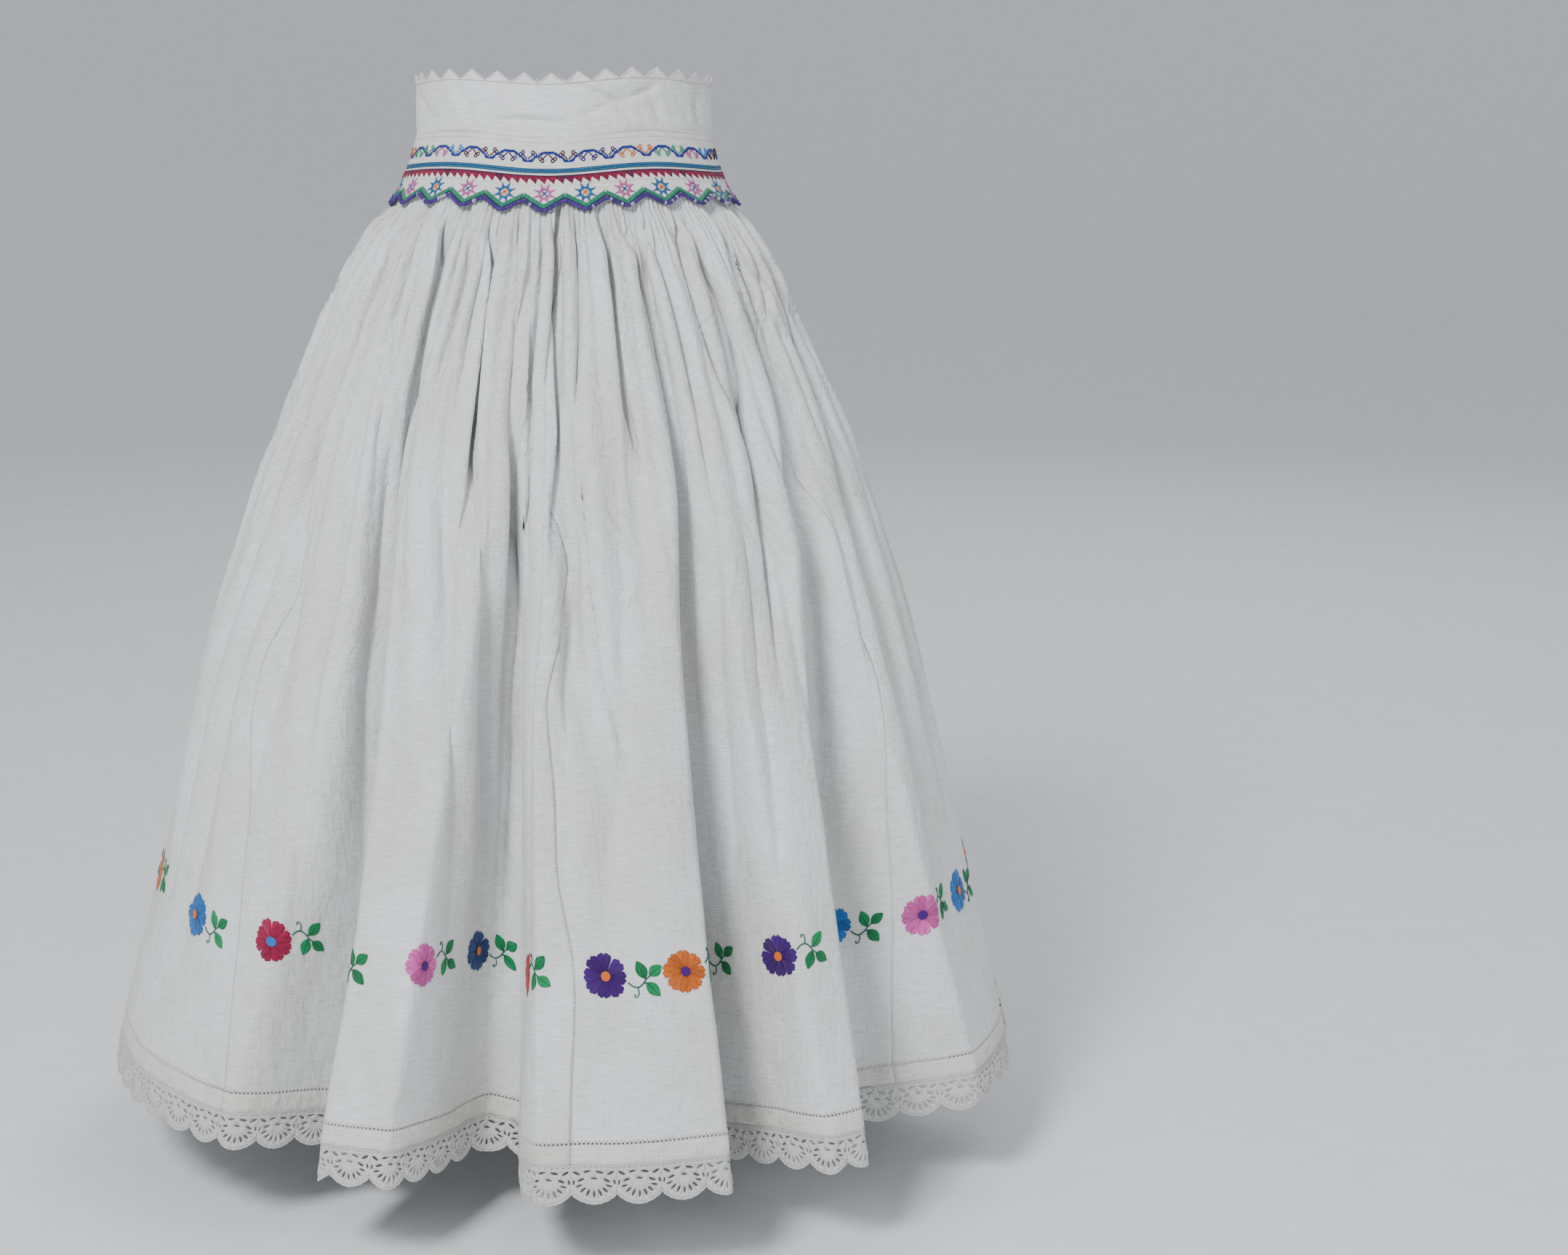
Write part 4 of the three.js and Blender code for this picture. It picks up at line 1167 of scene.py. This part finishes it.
def sprig(mesh, x, y, up, colour):
    for side in (-1, 1):
        for across, rise in SPRIG_CELLS:
            cross(mesh, x + side * across, y + up * rise, colour)
        for across, rise, radius in SPRIG_LOOPS:
            turns = np.linspace(0, 2 * math.pi, 9)
            ring = [(x + side * across + radius * math.cos(a), y + up * rise + radius * math.sin(a), 0.25)
                    for a in turns]
            tube(mesh, ring, 0.5, 4, colour)


mesh = bmesh.new()
wave_mm = BAND_ROUND / WAVES_ROUND
cell = wave_mm / len(vine_rows[0])
for wave in range(WAVES_ROUND):
    start = (wave - 0.42) * wave_mm
    for row, cells in enumerate(vine_rows):
        for column, mark in enumerate(cells):
            if mark == "X":
                cross(mesh, start + (column + 0.5) * cell, VINE_Z + (4.5 - row) * ROW_MM, NAVY)
    below, above = SPRIGS[wave % len(SPRIGS)]
    sprig(mesh, start, VINE_Z + 2.6, -1, below)
    sprig(mesh, start + 0.5 * wave_mm, VINE_Z - 2.4, 1, above)
turned_out(mesh)
VINE = finish_piece("cross_stitch_vine", mesh, [STRANDED_COTTON], on_band)
print("vine:", len(VINE.data.polygons), "faces,", round(wave_mm, 1), "mm a wave")

# %% The blue lines and the crimson saw edge
BLUE_LINES = [(-17.6, 0.26, "#1d3564"), (-18.4, 0.55, TEAL), (-19.2, 0.24, "#1d3564"), (-20.0, 0.55, TEAL),
              (-20.8, 0.24, "#1d3564")]
SAW_TOP_Z = -23.2
SAW_TEETH = 106
SAW_BODY, SAW_HEIGHT = 1.8, 4.2
SAW_DYES = ("#8e1440", "#6c1240")
mesh = bmesh.new()
for z, radius, colour in BLUE_LINES:
    tube(mesh, [(x, z, 0.15) for x in np.linspace(0, BAND_ROUND, 361)], radius, 5, colour)
tube(mesh, [(x, SAW_TOP_Z + 0.3, 0.2) for x in np.linspace(0, BAND_ROUND, 361)], 0.36, 5, "#3a1c4e")
tooth_mm = BAND_ROUND / SAW_TEETH
for k in range(SAW_TEETH):
    strands = 9
    for strand in range(strands):
        share = (strand + 0.5) / strands
        x = (k + share) * tooth_mm
        drop = SAW_BODY + SAW_HEIGHT * (share / 0.72 if share < 0.72 else (1 - share) / 0.28) ** 1.1
        lean = 0.6 * (drop - SAW_BODY) / SAW_HEIGHT
        bar(mesh, (x, SAW_TOP_Z), (x + lean, SAW_TOP_Z - drop), 0.86, 0.5, 0, SAW_DYES[k % 7 == 0])
turned_out(mesh)
finish_piece("blue_lines_and_saw_edge", mesh, [STRANDED_COTTON], on_band)

# %% Stars: eight spikes of satin stitch round a pale square with a cross
STAR_Z = -36.9
STAR_REACH, STAR_FOOT, SPIKE_HALF = 8.4, 2.9, 2.1
STAR_STRANDS = 9
PINK_STAR = (PINK, "#1f3a96", "#f4eef2")
BLUE_STAR = ("#1d679f", "#e2702c", "#f6dccb")


def rays(mesh, x, angle, offsets, near, far, width, top, colour):
    """Straight stitches side by side, that point away from a star's middle."""
    way = Vector((math.cos(angle), math.sin(angle)))
    aside = Vector((-way.y, way.x))
    for foot, tip, shorter in offsets:
        start = Vector((x, STAR_Z)) + way * near + aside * foot
        end = Vector((x, STAR_Z)) + way * (far - shorter) + aside * tip
        bar(mesh, start, end, width, top, 0, colour)


spike = [(SPIKE_HALF * a, 0.35 * a, 3.4 * abs(a)) for a in np.linspace(-1, 1, STAR_STRANDS)]
square = [(-0.6, -0.6, 0), (0.6, 0.6, 0)]
middle_cross = [(-0.3, -0.3, 0), (0.3, 0.3, 0)]
mesh = bmesh.new()
for tooth in range(TEETH):
    dye, middle, ground = (BLUE_STAR, PINK_STAR)[tooth % 2]
    centre_x = along_of((tooth + 0.5) / TEETH)
    for k in range(8):
        rays(mesh, centre_x, math.radians(22.5 + 45 * k), spike, STAR_FOOT, STAR_REACH, 0.7, 0.55, dye)
    for k in range(4):
        rays(mesh, centre_x, math.radians(90 * k), square, 0.3, 2.6, 1.3, 0.6, ground)
        rays(mesh, centre_x, math.radians(45 + 90 * k), middle_cross, 0, 2.7, 0.5, 0.8, middle)
turned_out(mesh)
STARS = finish_piece("satin_stitch_stars", mesh, [STRANDED_COTTON], on_band)
print("stars:", TEETH, "with", len(STARS.data.polygons), "faces")

# %% [markdown]
# The zigzag edge carries three lines: a green satin band, 3 mm wide, with a darker line down
# its middle, a navy line below it, and a plum cord that finishes the edge. The cord takes
# all the rubbing, so in places its colour has worn off and the white core shows.

# %% The zigzag's satin band, lines and cord
GREEN_SATIN, GREEN_LINE = "#379c78", "#1c6f5a"
CORD_DYES = ["#4a2b86", "#3b2a72", "#56348f"]
WORN_CORE = "#c3bccf"
PER_TOOTH = 48
edge_turns = np.linspace(0, 1, TEETH * PER_TOOTH + 1)


def along_edge(offset, lift, every=1, soft=0.0):
    points = []
    for k, turn in enumerate(edge_turns[::every]):
        near = [tooth_edge(turn + soft * step / TEETH / 10) for step in (-1, 0, 1)]
        x = BAND_ROUND if k == len(edge_turns[::every]) - 1 else along_of(turn)
        points.append((x, sum(near) / 3 + offset, lift))
    return points


mesh = bmesh.new()
for k in range(TEETH * PER_TOOTH):
    turn = (k + 0.5) / (TEETH * PER_TOOTH)
    x, z = along_of(turn), tooth_edge(turn)
    falling = (turn * TEETH) % 1 < 0.5
    lean = 0.75 if falling else -0.75
    shade = GREEN_SATIN if (k * 7) % 5 else "#2f9170"
    bar(mesh, (x, z + 0.75), (x + lean, z + 4.0), 0.74, 0.6, 0, shade)
tube(mesh, along_edge(2.35, 0.5, 4), 0.27, 4, GREEN_LINE)
tube(mesh, along_edge(4.3, 0.1, 4), 0.2, 4, GREEN_LINE)
tube(mesh, along_edge(0.35, 0.25, 4), 0.42, 5, "#232a5c")
turned_out(mesh)
GREEN_BAND = finish_piece("zigzag_satin_band", mesh, [SATIN_COTTON], on_band)

mesh = bmesh.new()
WORN = np.random.default_rng(21)
dyes = []
for k in range(TEETH * PER_TOOTH // 2):
    turn = k / (TEETH * PER_TOOTH // 2)
    rubbed = 0.02 + 0.3 * math.exp(-((turn - 0.17) / 0.05) ** 2)
    rubbed += 0.1 * math.exp(-((turn - 0.9) / 0.04) ** 2)
    worn = WORN.uniform() < rubbed or (dyes and dyes[-1] == WORN_CORE and WORN.uniform() < 0.3)
    dyes.append(WORN_CORE if worn else CORD_DYES[int(WORN.integers(3))])
tube(mesh, along_edge(-1.45, 0.3, 2, 0.8), 1.35, 6, dyes)
strand = along_edge(-1.45, 0.3, 2, 0.8)
twist = [(x, z + 0.85 * math.cos(1.3 * k), lift + 0.85 * math.sin(1.3 * k) + 0.35)
         for k, (x, z, lift) in enumerate(strand)]
twist[-1] = (twist[-1][0], twist[0][1], twist[0][2])
tube(mesh, twist, 0.62, 4, [CORD_DYES[0] if dye != WORN_CORE else dye for dye in dyes])
turned_out(mesh)
CORD = finish_piece("zigzag_cord_plum", mesh, [STEM_COTTON], on_band, ["zigzag_cord"])
print("zigzag:", len(GREEN_BAND.data.polygons) + len(CORD.data.polygons), "faces")

# %% [markdown]
# The garland is the skirt's great ornament: satin-stitched flowers as big as a plum. Beside
# each one stands a sprig with three leaves and a curled tendril, turned up and down in turn.
# A petal is a small grid that is bent into a fan with a notched end and a soft crown. Its UV
# runs across the petal, so that the thread ridges point outwards from the flower's middle,
# as the needle went. Flowers, leaves and stems are all drawn flat and draped with the cloth.

# %% Petals, leaves and stems
PETALS = 8
FLOWER_RADIUS = 17.8
HEART_RADIUS = 3.8
PETAL_OVERLAP = 1.05
CROWN = 0.85


def lift_of(across, along):
    """A petal's or leaf's crown: low at its rim, full inside."""
    rim = max(0.0, 1 - across ** 4) * max(0.0, math.sin(math.pi * min(max(along, 0), 1))) ** 0.35
    return 0.3 + CROWN * rim


def patch(mesh, across_steps, along_steps, shape, colour):
    """A small grid that is bent by shape(across, along), with its UV along the threads."""
    uv = mesh.loops.layers.uv.get("cloth") or mesh.loops.layers.uv.new("cloth")
    made = bmesh.ops.create_grid(mesh, x_segments=across_steps, y_segments=along_steps, size=1)["verts"]
    faces = {face for vert in made for face in vert.link_faces}
    spots = {}
    for vert in made:
        across, along = vert.co.x, (vert.co.y + 1) / 2
        x, y, height, thread = shape(across, along)
        spots[vert] = (x, y, height)
        for loop in vert.link_loops:
            loop[uv].uv = (thread, 8 * along)
    for vert, spot in spots.items():
        vert.co = spot
    dyed(mesh, faces, colour)


def shaded(hex_colour, share):
    channels = [int(hex_colour[k:k + 2], 16) for k in (1, 3, 5)]
    return "#" + "".join(f"{min(255, round(c * share)):02x}" for c in channels)


FLOWER_RNG = np.random.default_rng(5)


def petal(mesh, x, y, turn, width, reach, colour):
    def shape(across, along):
        end = reach * (1 - 0.12 * abs(across) ** 3) - 1.7 * math.exp(-(across / 0.16) ** 2)
        end -= 0.6 * math.exp(-((abs(across) - 0.6) / 0.12) ** 2)
        away = HEART_RADIUS * 0.7 + (end - HEART_RADIUS * 0.7) * along
        open_ = width * (1 - 0.12 * along ** 6)
        angle = turn + across * open_
        height = lift_of(across, 0.12 + 0.88 * along)
        return x + away * math.cos(angle), y + away * math.sin(angle), height, across * 5
    patch(mesh, 10, 6, shape, colour)


def flower(mesh, x, y, colour, heart):
    turn = FLOWER_RNG.uniform(0, 2 * math.pi)
    for k in range(PETALS):
        angle = turn + 2 * math.pi * k / PETALS + FLOWER_RNG.uniform(-0.05, 0.05)
        reach = FLOWER_RADIUS * FLOWER_RNG.uniform(0.93, 1.03)
        tone = shaded(colour, FLOWER_RNG.uniform(0.84, 1.08))
        petal(mesh, x, y, angle, math.pi / PETALS * PETAL_OVERLAP, reach, tone)
    ring = bmesh.ops.create_circle(mesh, cap_ends=True, segments=16, radius=HEART_RADIUS)["verts"]
    faces = list({face for vert in ring for face in vert.link_faces})
    grown = bmesh.ops.inset_region(mesh, faces=faces, thickness=1.3, depth=0)["faces"]
    inner = [v for face in faces for v in face.verts]
    for vert in {v for face in faces + grown for v in face.verts}:
        vert.co.z = 0.9
    for vert in inner:
        vert.co.z = 1.6
    bmesh.ops.translate(mesh, verts=list({v for face in faces + grown for v in face.verts}), vec=(x, y, 0))
    dyed(mesh, faces + grown, heart)


def leaf(mesh, base, tip, width, colour):
    base, tip = Vector(base), Vector(tip)
    way = tip - base
    aside = Vector((-way.y, way.x)).normalized()

    def shape(across, along):
        half = width / 2 * math.sin(math.pi * min(1, along * 0.97 + 0.02)) ** 0.75 * (1.12 - 0.24 * along)
        place = base + way * along + aside * (across * half)
        vein = 0.35 * math.exp(-(across / 0.22) ** 2)
        height = lift_of(across, 0.08 + 0.84 * along) * 0.9 - vein
        return place.x, place.y, height, 4 * along + 2.5 * abs(across)
    patch(mesh, 6, 8, shape, colour)
    vein = [base + way * share for share in (0.0, 0.3, 0.6, 0.88)]
    tube(mesh, [(p.x, p.y, 0.75) for p in vein], [0.2, 0.3, 0.26, 0.1], 4, LEAF_VEIN)


def stem(mesh, points, radius=0.55):
    """A stem-stitched line: a smooth thread through flat points."""
    points = np.array(points, float)
    stations = np.arange(len(points), dtype=float)
    fine = np.linspace(0, len(points) - 1, 4 * (len(points) - 1) + 1)
    path = [(read(stations, points[:, 0], t), read(stations, points[:, 1], t), 0.3) for t in fine]
    tube(mesh, path, radius, 5, STEM_GREEN)


# %% [markdown]
# The row of flowers starts with the ones that the photograph shows, at their places on the
# cloth of the front. The hidden rest is evenly spaced, in the same colours. The cloth is not
# quite filled out at this height, so everything is stretched a little sideways beforehand:
# draped, a flower is round again.

# %% The garland
GARLAND_DROP = 611
GARLAND_STRETCH = CLOTH_ROUND / float(np.interp(GARLAND_DROP, DROPS, ROUNDS))
LEAF_GREEN, LEAF_VEIN, STEM_GREEN = "#168c52", "#0c5c38", "#13644a"
BLUE, DARK_BLUE, CRIMSON_RED, VIOLET = "#1f78cc", "#123a80", "#a8194a", "#48107a"
HOT_PINK, RED, BRIGHT_ORANGE = "#ea66b8", "#d8222e", "#ec7626"
# flowers at the front: millimetres of cloth from the front seam, petals, heart
FRONT_FLOWERS = [
    (-825, BRIGHT_ORANGE, VIOLET), (-678, BLUE, BRIGHT_ORANGE), (-569, CRIMSON_RED, BLUE),
    (-398, VIOLET, BRIGHT_ORANGE), (-295, HOT_PINK, VIOLET), (-206, DARK_BLUE, BRIGHT_ORANGE),
    (-70, RED, BRIGHT_ORANGE), (27, VIOLET, BRIGHT_ORANGE), (97, BRIGHT_ORANGE, VIOLET),
    (245, HOT_PINK, BLUE), (353, VIOLET, BRIGHT_ORANGE), (555, BLUE, BRIGHT_ORANGE),
    (641, HOT_PINK, VIOLET), (725, BLUE, BRIGHT_ORANGE),
]
HIDDEN_FLOWERS = 22
HIDDEN_DYES = [(RED, VIOLET), (VIOLET, BRIGHT_ORANGE), (BRIGHT_ORANGE, VIOLET), (CRIMSON_RED, BLUE),
               (BLUE, BRIGHT_ORANGE), (HOT_PINK, VIOLET), (DARK_BLUE, BRIGHT_ORANGE)]
# a sprig's places from the flower on its left: its stem, its tendril, and each leaf's ends
STEM_LINE = [(17, -5.4), (20.6, -8.4), (24.4, -9.2), (28, -6.8), (31, -3.2), (34.4, -0.6)]
TENDRIL = [(24, -9.2), (24.6, -12.6), (24, -15.4), (22.2, -16.6), (21.2, -15.2), (22, -14.4)]
LEAVES = [((30.2, -2.8), (25.6, 10.6)), ((33.6, -0.6), (43.6, 6.2)), ((31, -6), (40.5, -16.6))]
LEAF_STALKS = [[(30.8, -3.4), (30.2, -2.6)], [(28.6, -6.2), (31.2, -6.2)]]
LEAF_WIDTH = 8.8


def garland_sprig(mesh, left, up):
    """A sprig on the right of a flower, turned up or down."""
    def placed(points):
        return [(left + x, up * y - GARLAND_DROP) for x, y in points]

    stem(mesh, placed(STEM_LINE))
    stem(mesh, placed(TENDRIL), 0.45)
    for stalk in LEAF_STALKS:
        stem(mesh, placed(stalk), 0.5)
    for base, tip in LEAVES:
        base, tip = placed([base, tip])
        leaf(mesh, base, tip, LEAF_WIDTH, shaded(LEAF_GREEN, FLOWER_RNG.uniform(0.82, 1.1)))


last, first = FRONT_FLOWERS[-1][0], FRONT_FLOWERS[0][0] + CLOTH_ROUND
flowers = list(FRONT_FLOWERS)
for k in range(HIDDEN_FLOWERS):
    place = last + (first - last) * (k + 1) / (HIDDEN_FLOWERS + 1)
    flowers.append((place, *HIDDEN_DYES[k % len(HIDDEN_DYES)]))
mesh = bmesh.new()
for k, (place, petals, heart) in enumerate(flowers):
    x = place / GARLAND_STRETCH
    flower(mesh, x, -GARLAND_DROP, petals, heart)
    garland_sprig(mesh, x, 1 if k % 2 else -1)
turned_out(mesh)
for vert in mesh.verts:
    vert.co.x *= GARLAND_STRETCH
GARLAND = finish_piece("flower_garland", mesh, [SATIN_COTTON], on_skirt)
print("garland:", len(flowers), "flowers,", len(GARLAND.data.polygons), "faces")

# %% [markdown]
# The photograph doesn't show the back, so the fastening is the plainest that such a skirt
# has: a narrow flap of the same linen over the opening, sewn round its edge, and three bone
# buttons. A button is a disc with four holes. Its outline is filled, pulled up to its
# thickness and bevelled. A raised rim and a cross of thread through the holes finish it.

# %% The flap at the back
FLAP_HALF_TURN = 0.012
FLAP_TOP, FLAP_LOW = 46, -34
FLAP_OUT, FLAP_THICK = 2.5, 1.2
flap_left, flap_right = along_of(0.5 - FLAP_HALF_TURN), along_of(0.5 + FLAP_HALF_TURN)
mesh = bmesh.new()
bmesh.ops.create_grid(mesh, x_segments=12, y_segments=48, size=0.5)
for vert in mesh.verts:
    x = flap_left + (flap_right - flap_left) * (vert.co.x + 0.5)
    z = FLAP_LOW + (FLAP_TOP - FLAP_LOW) * (vert.co.y + 0.5)
    pucker = 0.25 * math.sin(0.42 * z) * (1 - abs(2 * vert.co.x))
    flare = 0.8 * max(0, (-16 - z) / 18)
    vert.co = (x, z, FLAP_OUT + pucker + flare)
FLAP = finish_piece("back_flap_linen", mesh, [BAND_LINEN], on_band, ["back_flap"])
thicken(FLAP, FLAP_THICK)

# %% Stitches round the flap, and three worked buttonholes
BUTTON_HEIGHTS = [39, 28, 17]
FLAP_INSET = 1.8
mesh = bmesh.new()
flap_middle = (flap_left + flap_right) / 2
for k in range(int((FLAP_TOP - FLAP_LOW - 4) / RUNNING_MM)):
    z = FLAP_LOW + 2 + k * RUNNING_MM
    lift = FLAP_OUT + 0.8 * max(0, (-16 - z) / 18) - 0.1
    for x in (flap_left + FLAP_INSET, flap_right - FLAP_INSET):
        bar(mesh, (x, z), (x + 0.1, z + 1.9), 0.5, 0.35, lift)
for z in BUTTON_HEIGHTS:
    for k in range(12):
        x = flap_middle - 5.2 + 0.95 * k
        bar(mesh, (x, z - 1.5), (x + 0.1, z + 1.5), 0.7, 0.3, FLAP_OUT - 0.05)
turned_out(mesh)
finish_piece("back_flap_stitches", mesh, [SELVEDGE_THREAD], on_band)

# %% The bone buttons
BUTTON_RADIUS, BUTTON_THICK, BUTTON_LIFT = 4.5, 1.9, 2.9
HOLE_RADIUS, HOLE_AWAY = 0.6, 1.15


def bone(name):
    """Cow bone, turned and polished: a soft gloss over pale cream, with fine grain lines."""
    material, tree, shader = new_material(name, 0.28)
    shader.inputs["Specular IOR Level"].default_value = 0.5
    shader.inputs["IOR"].default_value = 1.54
    uv = add(tree, "ShaderNodeUVMap", uv_map="cloth").outputs["UV"]
    grain = stretch(tree, noise(tree, uv, (0.5, 5), 4), 0.35, 0.65)
    tone = blend_colours(tree, grain, linear("#cdbf9f"), linear("#e6dcc4"))
    tree.links.new(tone, shader.inputs["Base Color"])
    tree.links.new(bump(tree, grain, 0.05, 0.4), shader.inputs["Normal"])
    return material


BONE = bone("cow_bone_turned_and_polished")


def bone_button(index):
    mesh = bmesh.new()
    edges = []

    def ring(x, y, radius, sides):
        spot = Matrix.Translation((x, y, 0))
        made = bmesh.ops.create_circle(mesh, segments=sides, radius=radius, matrix=spot)["verts"]
        edges.extend({edge for vert in made for edge in vert.link_edges})

    ring(0, 0, BUTTON_RADIUS, 32)
    for k in range(4):
        angle = math.radians(45 + 90 * k)
        ring(HOLE_AWAY * math.cos(angle) * 1.3, HOLE_AWAY * math.sin(angle) * 1.3, HOLE_RADIUS, 10)
    bmesh.ops.triangle_fill(mesh, use_beauty=True, use_dissolve=False, edges=edges, normal=(0, 0, 1))
    grown = bmesh.ops.extrude_face_region(mesh, geom=mesh.faces)["geom"]
    top = [g for g in grown if isinstance(g, bmesh.types.BMVert)]
    bmesh.ops.translate(mesh, verts=top, vec=(0, 0, BUTTON_THICK))
    outer = [edge for edge in mesh.edges
             if all(vert.co.xy.length > BUTTON_RADIUS - 0.01 for vert in edge.verts)
             and abs(edge.verts[0].co.z - edge.verts[1].co.z) < 0.01]
    bmesh.ops.bevel(mesh, geom=outer, offset=0.5, segments=3, profile=0.5, affect="EDGES", material=-1)
    turned_out(mesh)
    rim = [(3.5 * math.cos(a), 3.5 * math.sin(a), BUTTON_THICK) for a in np.linspace(0, 2 * math.pi, 33)]
    tube(mesh, rim, 0.45, 6)
    middle = (flap_left + flap_right) / 2
    bmesh.ops.translate(mesh, verts=mesh.verts, vec=(middle, BUTTON_HEIGHTS[index], BUTTON_LIFT))
    turned_out(mesh)
    return finish_piece(f"bone_button_{index + 1}", mesh, [BONE], on_band,
                        [f"button_{index + 1}"])


BUTTONS = [bone_button(k) for k in range(3)]
mesh = bmesh.new()
for z in BUTTON_HEIGHTS:
    for turn in (45, 135):
        way = 1.3 * HOLE_AWAY * Vector((math.cos(math.radians(turn)), math.sin(math.radians(turn))))
        middle = Vector((flap_middle, z))
        for shift in (-0.2, 0.2):
            aside = Vector((-way.y, way.x)).normalized() * shift
            start, end = middle - way + aside, middle + way + aside
            bar(mesh, start, end, 0.36, 0.5, BUTTON_LIFT + BUTTON_THICK - 0.1)
turned_out(mesh)
finish_piece("button_threads", mesh, [LOOSE_THREAD], on_band)
print("buttons:", sum(len(button.data.polygons) for button in BUTTONS), "faces")
